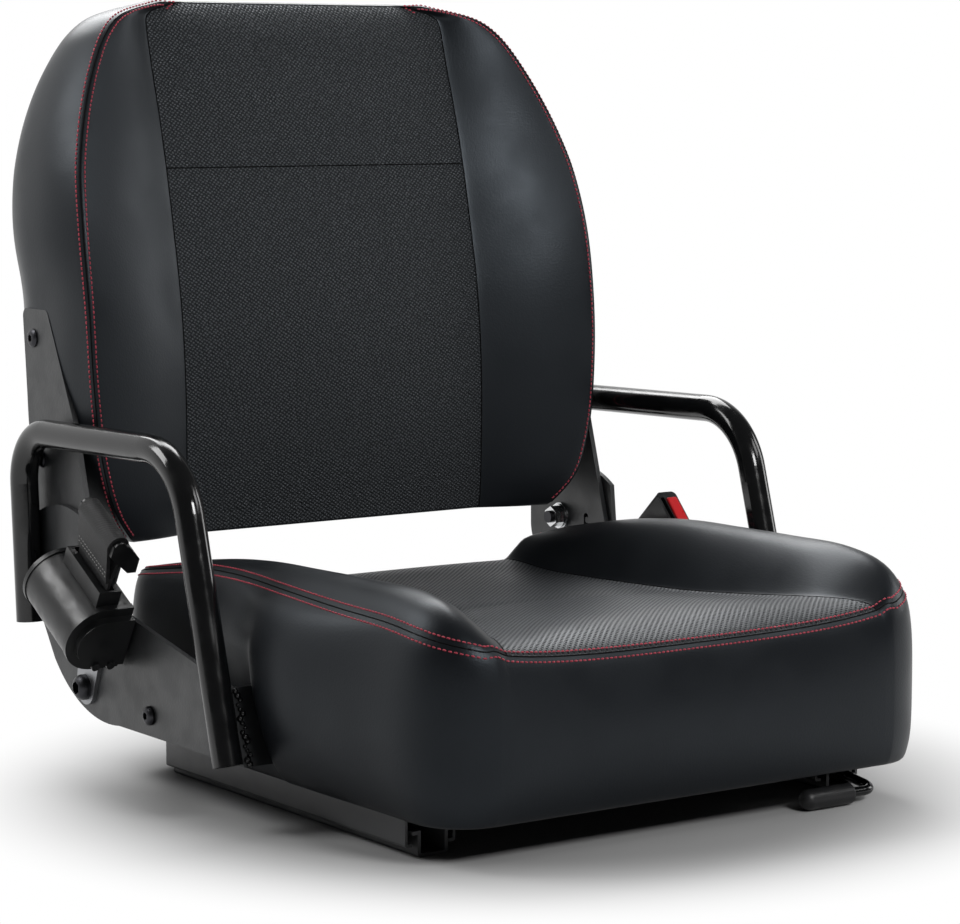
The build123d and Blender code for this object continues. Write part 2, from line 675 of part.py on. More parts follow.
def pivot_fasteners():
    """Pivot screws through plates and brackets, with plated washers and flange nuts inside."""
    bolts = []
    washers = []
    nuts = []
    washer_x = BRACKET_INNER_X - RUN_GAP
    flange_x = washer_x - PIVOT_SHEET
    nut_x = flange_x - PIVOT_SHEET
    length = PLATE_OUTER_X - nut_x + PIVOT_NUT + 3
    for side in (-1, 1):
        inward = (-side, 0, 0)
        bolt = button_bolt((side * PLATE_OUTER_X, PIVOT_Y, PIVOT_Z), (side, 0, 0), PIVOT_SCREW, length)
        washer = rod((side * washer_x, PIVOT_Y, PIVOT_Z), inward, PIVOT_WASHER_R, PIVOT_SHEET)
        flange = rod((side * flange_x, PIVOT_Y, PIVOT_Z), inward, PIVOT_FLANGE_R, PIVOT_SHEET)
        nut = hex_piece((side * nut_x, PIVOT_Y, PIVOT_Z), inward, PIVOT_FLATS, PIVOT_NUT)
        shank = rod((side * PLATE_OUTER_X, PIVOT_Y, PIVOT_Z), inward, PIVOT_D / 2, length)
        bolts.append(bolt)
        washers.append(washer - shank)
        nuts.append(flange + nut - shank)
    return group(bolts), group(washers), group(nuts)


def backrest_section(level, seam_x, seam_y, insert_y, rear_x, rear_y):
    """Horizontal section of the backrest: flat insert, forward bolsters, full sides, rounded rear corners."""
    inner = min(BACK_INSERT_HALF, BACK_INSERT_SHARE * seam_x)
    bolster = [(inner, insert_y)]
    bolster += [
        (inner + share * (seam_x - inner), insert_y + forward * (seam_y - insert_y))
        for share, forward in BACK_BOLSTER
    ]
    bolster.append((seam_x, seam_y))
    side_y = (seam_y + rear_y) / 2
    turn = min(BACKREST_REAR_R, 0.4 * (rear_y - seam_y))
    corner = (rear_x - 0.2 * turn, rear_y - turn)
    crown = (rear_x - 0.55 * turn, rear_y - 0.3 * turn)
    flat = (rear_x - 1.35 * turn, rear_y)

    def other(point):
        return (-point[0], point[1])

    left_front = Spline(*[other(point) for point in reversed(bolster)])
    insert = Line((-inner, insert_y), (inner, insert_y))
    right_front = Spline(*bolster)
    front = left_front + insert + right_front
    right = ThreePointArc((seam_x, seam_y), (rear_x, side_y), corner)
    right_rear = ThreePointArc(corner, crown, flat)
    rear = ThreePointArc(flat, (0, rear_y + 5), other(flat))
    left_rear = ThreePointArc(other(flat), other(crown), other(corner))
    left = ThreePointArc(other(corner), (-rear_x, side_y), (-seam_x, seam_y))
    return Plane.XY.offset(level) * make_face(front + right + right_rear + rear + left_rear + left)


def backrest_cushion():
    """Upholstered backrest: insert and bolsters, rounded shoulders, bored for its bracket screws."""
    cushion = loft([backrest_section(*row) for row in BACKREST_SECTIONS])
    reach = BRACKET_BOLT_LENGTH - BRACKET_SHEET
    for side in (-1, 1):
        for y, z in BRACKET_BOLTS:
            cushion -= rod((side * BRACKET_INNER_X, y, z), (-side, 0, 0), M8_D / 2, reach)
        cushion -= block(
            (BRACKET_INNER_X if side > 0 else -BEHIND, 150, 0),
            (BEHIND if side > 0 else -BRACKET_INNER_X, 320, BRACKET_TOP + 4),
        )
    return cushion


def retractor_frame_plane():
    """Working plane of the retractor: its Z runs along the spool, its X points away from the seat."""
    along = (0, -cos(radians(SPOOL_TILT)), -sin(radians(SPOOL_TILT)))
    return Plane(RETRACTOR_CENTRE, x_dir=(-1, 0, 0), z_dir=along)


RETRACTOR = retractor_frame_plane()
UP = -1.0
BACK = COVER_BACK_X - RETRACTOR_CENTRE[0]


def d_outline(radius, back):
    """D-shaped outline: a half circle away from the seat and a flat back towards the side plate."""
    return make_face(
        Line((-back, -radius), (0, -radius))
        + ThreePointArc((0, -radius), (radius, 0), (0, radius))
        + Line((0, radius), (-back, radius))
        + Line((-back, radius), (-back, -radius))
    )


def in_retractor(outline, start, length):
    """An outline in the retractor's plane, drawn out along its spool."""
    return extrude(RETRACTOR.offset(start) * outline, length)


def rect_between(low, high):
    """A rectangle between two corners."""
    width = high[0] - low[0]
    height = high[1] - low[1]
    return Pos(low[0] + width / 2, low[1] + height / 2) * Rectangle(width, height)


def mouth_outline(inset):
    """The belt mouth's block in the retractor's plane, inset on every side but its foot."""
    low = (-MOUTH_DEPTH / 2 + inset, 0)
    high = (MOUTH_DEPTH / 2 - inset, COVER_R + MOUTH_RISE)
    points = [low, (high[0], low[1]), high, (low[0], high[1])]
    return make_face(Polyline(*[(x + BELT_OFFSET, UP * y) for x, y in points], close=True))


def retractor_cover():
    """Moulded D-shaped cover with a raised block for the belt mouth, open towards the side plate."""
    half = COVER_LENGTH / 2
    cover = in_retractor(d_outline(COVER_R, BACK), -half, COVER_LENGTH)
    mouth = in_retractor(mouth_outline(0), MOUTH_SHIFT - MOUTH_LENGTH / 2, MOUTH_LENGTH)
    cover += mouth
    cover -= in_retractor(d_outline(COVER_R - COVER_WALL, BACK + 1), -half - 1, COVER_LENGTH + 2)
    slot = MOUTH_LENGTH - 2 * COVER_WALL
    cover -= in_retractor(mouth_outline(MOUTH_WALL), MOUTH_SHIFT - slot / 2, slot)
    return cover


def retractor_cap(end, depth):
    """Moulded cap that closes one end of the cover, with a spigot inside and a stepped outer face."""
    half = COVER_LENGTH / 2
    rim_depth = depth * 0.45
    cap = in_retractor(d_outline(COVER_R - COVER_WALL, BACK), end * (half - CAP_SPIGOT), end * CAP_SPIGOT)
    cap += in_retractor(d_outline(COVER_R + CAP_RIM, BACK), end * half, end * rim_depth)
    nose = d_outline(COVER_R - CAP_NOSE_STEP, BACK)
    cap += in_retractor(nose, end * (half + rim_depth), end * (depth - rim_depth))
    for x, y in CAP_PEGS:
        cap += in_retractor(Pos(x, UP * y) * Circle(CAP_PEG_R), end * half, end * (depth + 2))
    return cap


def retractor_frame():
    """Steel frame on the side plate: a base with a bolt tab, and two cheeks that carry the spool."""
    half = COVER_LENGTH / 2 - FRAME_END_GAP
    wall = -PLATE_OUTER_X - RETRACTOR_CENTRE[0]
    base = rect_between((-wall, -FRAME_HALF_HEIGHT), (-wall + FRAME_SHEET, FRAME_HALF_HEIGHT))
    frame = in_retractor(base, -half, 2 * half)
    tab_end = Pos(*RETRACTOR_BOLT) * Circle(TAB_END_R)
    tab_root = Pos(*TAB_ROOT) * Circle(TAB_ROOT_R)
    tab = make_hull(tab_end.edges() + tab_root.edges())
    frame += slab(tab, -PLATE_OUTER_X - FRAME_SHEET, -PLATE_OUTER_X)
    cheek = d_outline(SPOOL_R - 1.5, wall)
    for end in (-1, 1):
        frame += in_retractor(cheek, end * (half - FRAME_SHEET), end * FRAME_SHEET)
    y, z = RETRACTOR_BOLT
    frame -= rod((-BEHIND, y, z), (1, 0, 0), BELT_SCREW[0], BEHIND)
    return frame - in_retractor(Circle(AXLE_R), -COVER_LENGTH, 2 * COVER_LENGTH)


def retractor_spool():
    """Spool on its axle, with the stowed belt wound on it."""
    half = COVER_LENGTH / 2 - FRAME_END_GAP
    axle = in_retractor(Circle(AXLE_R), -half, 2 * half)
    return axle + in_retractor(Circle(SPOOL_R), -BELT_WIDTH / 2, BELT_WIDTH)


def retractor_anchor():
    """Anchor screw of the retractor, with a broad hex socket, and its nut behind the plate."""
    y, z = RETRACTOR_BOLT
    inner = -PLATE_OUTER_X + PLATE_SHEET
    length = FRAME_SHEET + PLATE_SHEET + BELT_NUT + 2
    bolt = button_bolt((-PLATE_OUTER_X - FRAME_SHEET, y, z), (-1, 0, 0), BELT_SCREW, length)
    nut = hex_piece((inner, y, z), (1, 0, 0), M10_FLATS, BELT_NUT)
    return bolt, nut - rod((inner, y, z), (1, 0, 0), BELT_SCREW[0], BELT_NUT)


def belt_webbing():
    """Stowed lap belt: a flat band from the mouth, looped over the tongue's bar and sewn to itself."""
    half = BELT_SHEET / 2
    eye = Pos(0, UP * LOOP_RISE)
    band = rect_between((BELT_OFFSET - half, UP * BELT_SEWN), (BELT_OFFSET + half, UP * SPOOL_R))
    sewn = rect_between((BELT_OFFSET - half, UP * BELT_SEWN), (BELT_OFFSET + 3 * half, UP * (BELT_SEWN - 1)))
    outside = make_hull((eye * Circle(LOOP_R + BELT_SHEET)).edges() + sewn.edges())
    throat = Pos(BELT_OFFSET + half, UP * (BELT_SEWN + 3)) * Circle(RUN_GAP)
    inside = make_hull((eye * Circle(LOOP_R)).edges() + throat.edges())
    return in_retractor(band + outside - inside, LOOP_SHIFT - BELT_WIDTH / 2, BELT_WIDTH)


def tongue_outline(points):
    """A closed outline in the retractor's plane, given with its mouth upward."""
    return make_face(Polyline(*[(x, UP * y) for x, y in points], close=True))


def belt_tongue():
    """Steel tongue that hangs from the belt's loop, on the side towards the plate."""
    left, right = TONGUE_X, TONGUE_X + TONGUE_SHEET
    outline = [(left, TONGUE_LOW), (right, TONGUE_LOW), (right, TONGUE_TOP), (left, TONGUE_TOP)]
    return in_retractor(tongue_outline(outline), LOOP_SHIFT - TONGUE_WIDTH / 2, TONGUE_WIDTH)


def tongue_cover(tongue):
    """Moulded tongue frame: a bar in the belt's loop, two end arms and a bridge over the steel tongue."""
    half = BELT_WIDTH / 2 + TONGUE_ARM
    left, right = TONGUE_X - BRIDGE_WALL, TONGUE_X + TONGUE_SHEET + BRIDGE_WALL
    bar_y = LOOP_RISE + LOOP_R - BAR_R
    frame = in_retractor(Pos(0, UP * bar_y) * Circle(BAR_R), LOOP_SHIFT - half, 2 * half)
    arm = tongue_outline(
        [
            (-LOOP_R, LOOP_RISE + LOOP_R / 2),
            (LOOP_R, LOOP_RISE + LOOP_R / 2),
            (LOOP_R, LOOP_RISE - LOOP_R),
            (right, BRIDGE_LOW),
            (left, BRIDGE_LOW),
            (left, BRIDGE_HIGH),
        ]
    )
    arm_width = TONGUE_ARM - RUN_GAP
    for end in (LOOP_SHIFT - half, LOOP_SHIFT + half - arm_width):
        frame += in_retractor(arm, end, arm_width)
    bridge = tongue_outline(
        [(left, BRIDGE_LOW), (right, BRIDGE_LOW), (right, BRIDGE_HIGH), (left, BRIDGE_HIGH)]
    )
    frame += in_retractor(bridge, LOOP_SHIFT - half, 2 * half)
    return frame - tongue


def buckle_plane():
    """Working plane of the buckle, at its anchor: Z runs up the stalk to the mouth."""
    along = (0, -cos(radians(BUCKLE_PITCH)), sin(radians(BUCKLE_PITCH)))
    return Plane((0, *BUCKLE_ANCHOR), x_dir=(1, 0, 0), z_dir=along)


BUCKLE = buckle_plane()


def in_buckle(outline, start, length):
    """An outline across the buckle, drawn out along its axis."""
    return extrude(BUCKLE.offset(start) * outline, length)


def buckle_stalk():
    """Steel strap from the anchor screw into the buckle, round at the anchor."""
    half = STALK_WIDTH / 2
    root = BUCKLE_REACH - BUCKLE_LENGTH + STALK_ROOT
    strap = in_buckle(Pos(STALK_X, 0) * Rectangle(STALK_SHEET, STALK_WIDTH), 0, root)
    y, z = BUCKLE_ANCHOR
    strap += rod((STALK_X - STALK_SHEET / 2, y, z), (1, 0, 0), half, STALK_SHEET)
    return strap - rod((0, y, z), (1, 0, 0), ANCHOR_D / 2 + RUN_GAP, BEHIND)


def stalk_sleeve(stalk):
    """Moulded sleeve over the strap, below the buckle."""
    start = STALK_WIDTH / 2 + 6
    length = BUCKLE_REACH - BUCKLE_LENGTH - start
    outline = Pos(STALK_X, 0) * RectangleRounded(SLEEVE_THICK, SLEEVE_WIDTH, 3)
    return in_buckle(outline, start, length) - stalk


def button_outline(gap):
    """The release button's outline across the buckle, grown by a gap."""
    return Pos(BUTTON_X, 0) * RectangleRounded(BUTTON_THICK + 2 * gap, BUTTON_WIDTH + 2 * gap, 1.6 + gap)


def buckle_housing(stalk):
    """Moulded buckle: rounded case with a well for the button and a slit for the tongue."""
    outline = Pos(BUCKLE_X, 0) * RectangleRounded(BUCKLE_THICK, BUCKLE_WIDTH, 4)
    case = in_buckle(outline, BUCKLE_REACH - BUCKLE_LENGTH, BUCKLE_LENGTH)
    case -= in_buckle(button_outline(RUN_GAP), BUCKLE_REACH - BUTTON_WELL, BUTTON_WELL + 1)
    slit = Pos(BUCKLE_X - BUCKLE_THICK / 2 + SLIT_INSET, 0) * Rectangle(SLIT_WIDTH, BUTTON_WIDTH + 2)
    case -= in_buckle(slit, BUCKLE_REACH - SLIT_DEPTH, SLIT_DEPTH + 1)
    return case - stalk


def buckle_button():
    """Red release button, a little proud of the buckle's end and crowned across its face."""
    length = BUTTON_WELL - BUTTON_TRAVEL - 1.5
    start = BUCKLE_REACH + BUTTON_PROUD - length
    button = in_buckle(button_outline(0), start, length)
    crown = button.faces().sort_by(Axis(BUCKLE.origin, BUCKLE.z_dir))[-1]
    return fillet(crown.edges(), 1.0)


def buckle_anchor():
    """Anchor screw, bush and nut of the buckle's strap on the left side plate."""
    y, z = BUCKLE_ANCHOR
    head_x = STALK_X - STALK_SHEET / 2 - RUN_GAP
    bush_x = STALK_X + STALK_SHEET / 2 + RUN_GAP
    shank = rod((head_x, y, z), (1, 0, 0), ANCHOR_D / 2, PLATE_OUTER_X + BELT_NUT + 3 - head_x)
    bolt = hex_piece((head_x, y, z), (-1, 0, 0), M10_FLATS, M8_HEAD) + shank
    bush = rod((bush_x, y, z), (1, 0, 0), BUSH_R, PLATE_OUTER_X - PLATE_SHEET - bush_x) - shank
    nut = hex_piece((PLATE_OUTER_X, y, z), (1, 0, 0), M10_FLATS, BELT_NUT) - shank
    return bolt, bush, nut


def build():
    """Every node of the seat, by name."""
    nodes = {
        "lower_rail_left": lower_rail(True),
        "lower_rail_right": mirror(lower_rail(False), about=Plane.YZ),
        "rail_rivets": rail_rivets(),
        "glide_shoes": glide_shoes(),
        "lever_rod": lever_rod(),
        "lock_catch": lock_catch(),
        "lever_hangers": lever_hangers(),
        "lever_spring": lever_spring(),
        "seat_pan": seat_pan(),
        "cross_member_front": cross_member(CROSS_YS[0]),
        "cross_member_rear": cross_member(CROSS_YS[1]),
        "seat_cushion": seat_cushion(),
        "plate_bolts": plate_bolts(),
        "plate_nuts": plate_nuts(),
        "side_plate_left": side_plate([(*BUCKLE_ANCHOR, ANCHOR_D / 2)]),
        "side_plate_right": mirror(side_plate([(*RETRACTOR_BOLT, BELT_SCREW[0])]), about=Plane.YZ),
        "backrest_cushion": backrest_cushion(),
        "bracket_bolts": bracket_bolts(),
        "retractor_cover": retractor_cover(),
        "retractor_lock_cap": retractor_cap(1, 11),
        "retractor_spring_cap": retractor_cap(-1, 8),
        "retractor_frame": retractor_frame(),
        "retractor_spool": retractor_spool(),
        "belt_webbing": belt_webbing(),
        "belt_tongue": belt_tongue(),
        "buckle_stalk": buckle_stalk(),
        "buckle_button": buckle_button(),
    }
    nodes["lever_grip"] = lever_grip(nodes["lever_rod"])
    nodes["tongue_cover"] = tongue_cover(nodes["belt_tongue"])
    nodes["stalk_sleeve"] = stalk_sleeve(nodes["buckle_stalk"])
    nodes["buckle_housing"] = buckle_housing(nodes["buckle_stalk"])
    nodes["retractor_bolt"], nodes["retractor_nut"] = retractor_anchor()
    nodes["buckle_anchor_bolt"], nodes["buckle_bush"], nodes["buckle_anchor_nut"] = buckle_anchor()
    nodes["rail_spacers"], nodes["rail_bolts"], nodes["rail_nuts"] = rail_fasteners()
    nodes["pivot_bolts"], nodes["pivot_washers"], nodes["pivot_nuts"] = pivot_fasteners()
    for name, piece in (
        ("upper_rail", upper_rail()),
        ("hip_tube", hip_tube()),
        ("backrest_bracket", backrest_bracket()),
    ):
        nodes[name + "_left"] = piece
        nodes[name + "_right"] = mirror(piece, about=Plane.YZ)
    return nodes


os.makedirs("parts", exist_ok=True)
for name, shape in build().items():
    export_step(shape, os.path.join("parts", name + ".step"))
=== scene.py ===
"""Looks of the tractor seat: its upholstery, stitching and finishes, with the light and the camera.

Metres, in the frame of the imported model. +Z is up and the sitter faces -Y. Sections and the
numbers that shape them are in millimetres.
"""

import json
import math

import bmesh
import bpy
import numpy as np
from mathutils import Matrix, Vector
from mathutils.bvhtree import BVHTree
from mathutils.kdtree import KDTree

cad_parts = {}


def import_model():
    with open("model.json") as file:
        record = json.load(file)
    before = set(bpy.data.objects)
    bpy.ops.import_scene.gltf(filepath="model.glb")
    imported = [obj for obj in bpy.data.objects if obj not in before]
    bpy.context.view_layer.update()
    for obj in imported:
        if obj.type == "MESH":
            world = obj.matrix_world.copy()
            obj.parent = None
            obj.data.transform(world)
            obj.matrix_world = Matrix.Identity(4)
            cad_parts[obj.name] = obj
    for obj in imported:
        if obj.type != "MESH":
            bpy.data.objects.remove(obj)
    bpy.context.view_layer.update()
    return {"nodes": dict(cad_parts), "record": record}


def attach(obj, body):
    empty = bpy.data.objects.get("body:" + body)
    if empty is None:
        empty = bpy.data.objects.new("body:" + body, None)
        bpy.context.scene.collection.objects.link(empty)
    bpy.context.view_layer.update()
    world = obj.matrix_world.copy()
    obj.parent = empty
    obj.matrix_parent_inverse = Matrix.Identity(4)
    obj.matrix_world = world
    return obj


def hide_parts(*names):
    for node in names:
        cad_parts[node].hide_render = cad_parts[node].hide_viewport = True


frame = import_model()
MM = 0.001

# Camera, at the photograph's place
CAMERA_PLACE = (-1.3371, -1.8684, 0.4995)
CAMERA_TARGET = (0.0234, 0.0706, 0.2255)
CAMERA_LENS = 120.1
CAMERA_SENSOR = 36.0

# Backrest: level, front seam half-width and depth, insert depth, rear half-width and depth
BACKREST_SECTIONS = np.array([
    (166.0, 192.0, 213.0, 232.0, 194.0, 300.0),
    (180.0, 207.0, 204.0, 231.0, 210.0, 318.0),
    (215.0, 221.0, 200.0, 230.0, 225.0, 329.0),
    (280.0, 230.0, 200.0, 230.0, 231.0, 335.0),
    (345.0, 231.3, 204.0, 236.0, 231.5, 340.0),
    (400.0, 230.0, 214.0, 247.0, 237.0, 342.0),
    (446.0, 224.0, 228.0, 257.0, 233.0, 342.0),
    (490.0, 210.0, 244.0, 269.0, 221.0, 340.0),
    (525.0, 193.0, 258.0, 280.0, 204.0, 336.0),
    (548.0, 176.0, 268.0, 286.0, 187.0, 330.0),
    (562.0, 150.0, 280.0, 291.0, 160.0, 321.0),
    (567.0, 120.0, 291.0, 296.0, 126.0, 312.0),
])
BACKREST_REAR_R = 16.0
BACK_INSERT_HALF = 136.0
BACK_INSERT_SHARE = 0.86
BACK_BOLSTER = ((0.0, 0.25, 0.5, 0.75, 1.0), (0.0, 0.35, 0.66, 0.87, 1.0))
BACK_CROSS_SEAM = 442.0
BACK_LEVEL_STEP = 9.0
BACK_CROSS_CLEAR = 8.0
BACK_CROSS_BESIDE = 2.5
BACK_SHOULDER_FROM = 540.0
BACK_SHOULDER_LEVELS = (545.0, 550.0, 554.0, 557.5, 560.5, 563.0, 565.0, 566.3)
# Side of the backrest: where it swells, as shares of its width and depth, then its rear corner's points
# in from the rear half-width and depth, as shares of the corner's radius
BACK_SIDE_SWELL = (0.7, 0.16)
BACK_CORNER = ((0.2, 1.0), (0.55, 0.3), (1.35, 0.0))
BACK_CORNER_SHARE = 0.4
BACK_REAR_CROWN = 5.0
BACK_BOTTOM_RISE = -1.0
BACK_TOP_RISE = 2.0

# Seat cushion: its plan, then for each station along y the heights of the insert's middle, the insert's
# seam, the bolster's crest and the edge seam
CUSHION_HALF = 213.5
CUSHION_FRONT = -227.0
CUSHION_REAR = 215.0
CUSHION_CORNER = 44.0
CUSHION_BOTTOM = 28.0
EDGE_SEAM_INSET = 8.0
SEAT_STATIONS = np.array([
    (-236.0, 113.0, 118.0, 122.0, 122.0),
    (-219.0, 134.0, 141.0, 144.5, 144.5),
    (-197.0, 142.0, 145.0, 168.0, 151.0),
    (-165.0, 143.0, 143.0, 178.0, 155.5),
    (-100.0, 138.0, 136.0, 180.0, 158.5),
    (-30.0, 132.0, 130.0, 179.0, 162.5),
    (30.0, 129.0, 127.0, 177.0, 165.5),
    (90.0, 127.0, 125.0, 170.0, 164.0),
    (145.0, 126.0, 124.0, 160.0, 157.0),
    (200.0, 128.0, 127.0, 147.0, 146.0),
    (222.0, 123.0, 122.0, 136.0, 134.0),
])
SEAT_BOLSTER_SHARES = (0.0, 0.3, 0.68, 0.9, 1.0)
SEAT_INNER_RISE = 0.58
SEAT_OUTER_RISE = 0.55
RIDGE_RISE = 3.0
RIDGE_Y = -178.0
RIDGE_SPAN = 24.0
RIDGE_LOBES = 150.0
SEAT_INSERT_HALF = 140.0
SEAT_INSERT_FRONT_HALF = 160.0
INSERT_FLARE_FROM = -150.0
INSERT_FLARE_SPAN = 62.0
INSERT_MARGIN = 4.0
# Rows of the seat's grid: degrees between those round a corner, then the y where the even rows ahead of
# the flange end and those behind it start, with their counts, and close rows beside the flange
CORNER_STEP = 15
ROWS_AHEAD = (-60.0, 13)
ROWS_BEHIND = (2.0, 18)
SEAT_CLOSE_ROWS = (-52, -45, -40, -36.5, *range(-34, -8, 2), -7, -3)

# Skirt below the edge seam: drop from the seam or rise from the bottom, and inset of the plan there
SKIRT_TOP = ((2.6, 6.0), (7.0, 4.0), (14.0, 2.2), (24.0, 0.8), (36.0, 0.1))
SKIRT_FOOT = ((22.0, 0.0), (12.0, 0.6), (5.0, 3.0), (1.2, 6.5), (0.0, 10.0))
SKIRT_MIDDLE = 6
SKIRT_FOOT_HELD = 2
# Hollow below, from its roof down: inset of the plan and height
UNDERSIDE = ((15.0, 50.2), (14.4, 48.0), (14.2, 40.0), (14.0, 32.0), (13.0, 29.0))
# Swelling of each side over its plate's leaning flange, with y and height of the flange's foot and head.
# It turns in at the flange, carries on above it, and dies away ahead of it and behind it
BULGE = 18.5
BULGE_TOP = 165.0
BULGE_TURN = 3.0
BULGE_AHEAD = 135.0
BULGE_BEHIND = 80.0
BULGE_LEAD = 6.0
BULGE_LIFT = 3.0
BULGE_BLEND = 16.0
BULGE_ROUNDNESS = 0.6
FLANGE_FOOT = (-28.0, 43.0)
FLANGE_HEAD = (-10.0, 95.0)

# Grid fractions: close rows beside each seam, wider ones between
BOLSTER_SHARES = np.array([
    0, 0.035, 0.09, 0.18, 0.3, 0.42, 0.55, 0.68, 0.79, 0.88, 0.94, 0.975, 1.0,
])
INSERT_SHARES = np.array([0, 0.1, 0.2, 0.3, 0.4, 0.5, 0.6, 0.7, 0.8, 0.88, 0.94, 0.98, 1.0])
SIDE_SHARES = np.array([
    0, 0.02, 0.05, 0.11, 0.18, 0.26, 0.34, 0.42, 0.5, 0.58, 0.66, 0.74, 0.81, 0.88, 0.94, 1.0,
])

# Swelling of the upholstery between its seams, less where the side plates squeeze it
PRESSURE = 3.0
CLOTH_FRAMES = 20
BOLSTER_SWELL = 4.0 * MM
INSERT_SWELL = 2.5 * MM
SWELL_REACH = 30.0 * MM
SQUEEZED_SWELL = 0.2 * MM
SQUEEZED_FROM = -30.0 * MM
SQUEEZED_REACH = 75.0 * MM
SEAM_DEPTH = 0.25 * MM
RELAX_STEPS = 5
RELAX_SHARE = 0.5

# Stitching
STITCH_PITCH = 3.6 * MM
STITCH_LENGTH = 2.7 * MM
STITCH_RADIUS = 0.6 * MM
STITCH_OFFSET = 4.1 * MM
STITCH_LIFT = 0.25 * STITCH_RADIUS
THREAD_SIDES = 6
# Share of a stitch's length from its middle, share of its thickness, and rise out of the cloth
STITCH_FORM = (
    (-0.5, 0.45, -0.7), (-0.32, 0.95, 0.0), (0.0, 1.0, 0.25), (0.32, 0.95, 0.0), (0.5, 0.45, -0.7),
)
SEAM_CREASE = 0.35
# Cords of painted shade along each seam's groove: spacing of their rings and their radius
SEAM_LINE_PITCH = 4.0 * MM
SEAM_LINE_RADIUS = 0.5 * MM

# Belt stitches, up from the spool and across the belt
SPOOL_CENTRE = Vector((-264.0, 166.0, 130.0))
BELT_UP = Vector((0, -0.5, math.sqrt(0.75)))
BELT_ACROSS = Vector((0, -math.sqrt(0.75), -0.5))
BELT_OUTSIDE = Vector((-60, 0, 0))
BELT_STITCH_RISES = (48.0, 52.0)
BELT_STITCH_PLACES = np.arange(-17.0, 26.0, 3.3)
BELT_STITCH_LENGTH = 2.3 * MM
BELT_STITCH_RADIUS = 0.4 * MM

# Beads of weld, in a line from foot to head beside each tube; x and radius with how much they vary
WELD_BEADS = 17
WELD_FOOT = Vector((0, -26.6, 45.0))
WELD_HEAD = Vector((0, -9.6, 93.0))
WELD_X, WELD_X_VARIES = 235.8, 1.6
WELD_RADIUS, WELD_RADIUS_VARIES = 1.9, 0.6

# Floor: grey that takes the shadow, fading to white between two distances from the seat's middle
FLOOR_HALF = 12.0
FLOOR_GREY = 0.46
FLOOR_FADE = (0.24, 0.42)

# Room: white in the direction +Y, dim in front, and weaker as light than in reflections
SWEEP_FROM_TO = (0.15, 0.85)
ROOM_DIM = 0.08
ROOM_AS_LIGHT = 0.25

# Lamps: name, place, target, size and power in watts
LAMPS = (
    ("back_top", (0.42, 1.2, 1.62), (0, -0.05, 0.2), (1.6, 1.1), 43),
    ("front_right", (1.2, -1.1, 1.35), (0, 0.2, 0.35), (0.6, 0.6), 5),
    ("front", (0.1, -1.8, 1.3), (0, 0.2, 0.35), (0.6, 0.4), 19),
    ("right", (1.7, -0.3, 0.75), (0, 0.2, 0.3), (0.5, 0.9), 6),
    ("left", (-1.1, 0.75, 1.2), (-0.1, -0.1, 0.2), (0.55, 0.7), 10),
)

# Samples along a smooth curve when its length is measured
CURVE_SAMPLES = 200


def smooth(xs, ys, x):
    """Values at x of a smooth curve through the points (xs, ys)."""
    xs = np.asarray(xs, float)
    ys = np.asarray(ys, float)
    slopes = np.gradient(ys, xs)
    x = np.clip(x, xs[0], xs[-1])
    i = np.clip(np.searchsorted(xs, x) - 1, 0, len(xs) - 2)
    step = xs[i + 1] - xs[i]
    t = (x - xs[i]) / step
    start = (1 + 2 * t) * (1 - t) ** 2 * ys[i] + t * (1 - t) ** 2 * step * slopes[i]
    return start + t**2 * (3 - 2 * t) * ys[i + 1] + t**2 * (t - 1) * step * slopes[i + 1]


def ease(share):
    """Smooth step from 0 to 1 for a share held between them."""
    share = np.clip(share, 0, 1)
    return share**2 * (3 - 2 * share)


def lengths(points):
    """Length of a polyline from its start to each of its points."""
    return np.concatenate([[0], np.cumsum(np.linalg.norm(np.diff(points, axis=0), axis=1))])


def along(points, shares):
    """Points at the given shares of the length of a smooth curve through some points."""
    points = np.asarray(points, float)
    chord = lengths(points)
    fine = np.linspace(0, chord[-1], CURVE_SAMPLES)
    curve = np.stack([smooth(chord, column, fine) for column in points.T], axis=1)
    length = lengths(curve)
    places = np.asarray(shares) * length[-1]
    return np.stack([np.interp(places, length, column) for column in curve.T], axis=1)


def ring_places(nx, ny):
    """Grid places (row, column) once round the border: front, right side, rear, left side."""
    places = [(0, i) for i in range(nx)]
    places += [(j, nx) for j in range(ny)]
    places += [(ny, i) for i in range(nx, 0, -1)]
    places += [(j, 0) for j in range(ny, 0, -1)]
    return places


class ClosedGrid:
    """A closed mesh of two caps, each a grid of ny by nx faces, and walls between their borders."""

    def __init__(self, bottom, walls, top):
        self.ny = len(top) - 1
        self.nx = len(top[0]) - 1
        self.border = ring_places(self.nx, self.ny)
        self.points = []
        self.faces = []
        self.bottom = self.add_cap(bottom)
        self.top = self.add_cap(top)
        self.rings = [[self.bottom[place] for place in self.border]]
        for ring in walls:
            first = len(self.points)
            self.points.extend(map(tuple, ring))
            self.rings.append(list(range(first, first + len(ring))))
        self.rings.append([self.top[place] for place in self.border])
        self.add_faces()

    def add_cap(self, grid):
        index = {}
        for j, row in enumerate(grid):
            for i, point in enumerate(row):
                index[j, i] = len(self.points)
                self.points.append(tuple(point))
        return index

    def add_faces(self):
        for j in range(self.ny):
            for i in range(self.nx):
                corners = [(j, i), (j, i + 1), (j + 1, i + 1), (j + 1, i)]
                self.faces.append([self.top[c] for c in corners])
                self.faces.append([self.bottom[c] for c in reversed(corners)])
        for low, high in zip(self.rings, self.rings[1:]):
            for k in range(len(low)):
                after = (k + 1) % len(low)
                self.faces.append([low[k], low[after], high[after], high[k]])

    def object(self, name):
        mesh = bpy.data.meshes.new(name)
        mesh.from_pydata([tuple(c * MM for c in p) for p in self.points], [], self.faces)
        mesh.validate()
        mesh.shade_smooth()
        piece = bpy.data.objects.new(name, mesh)
        bpy.context.scene.collection.objects.link(piece)
        return piece


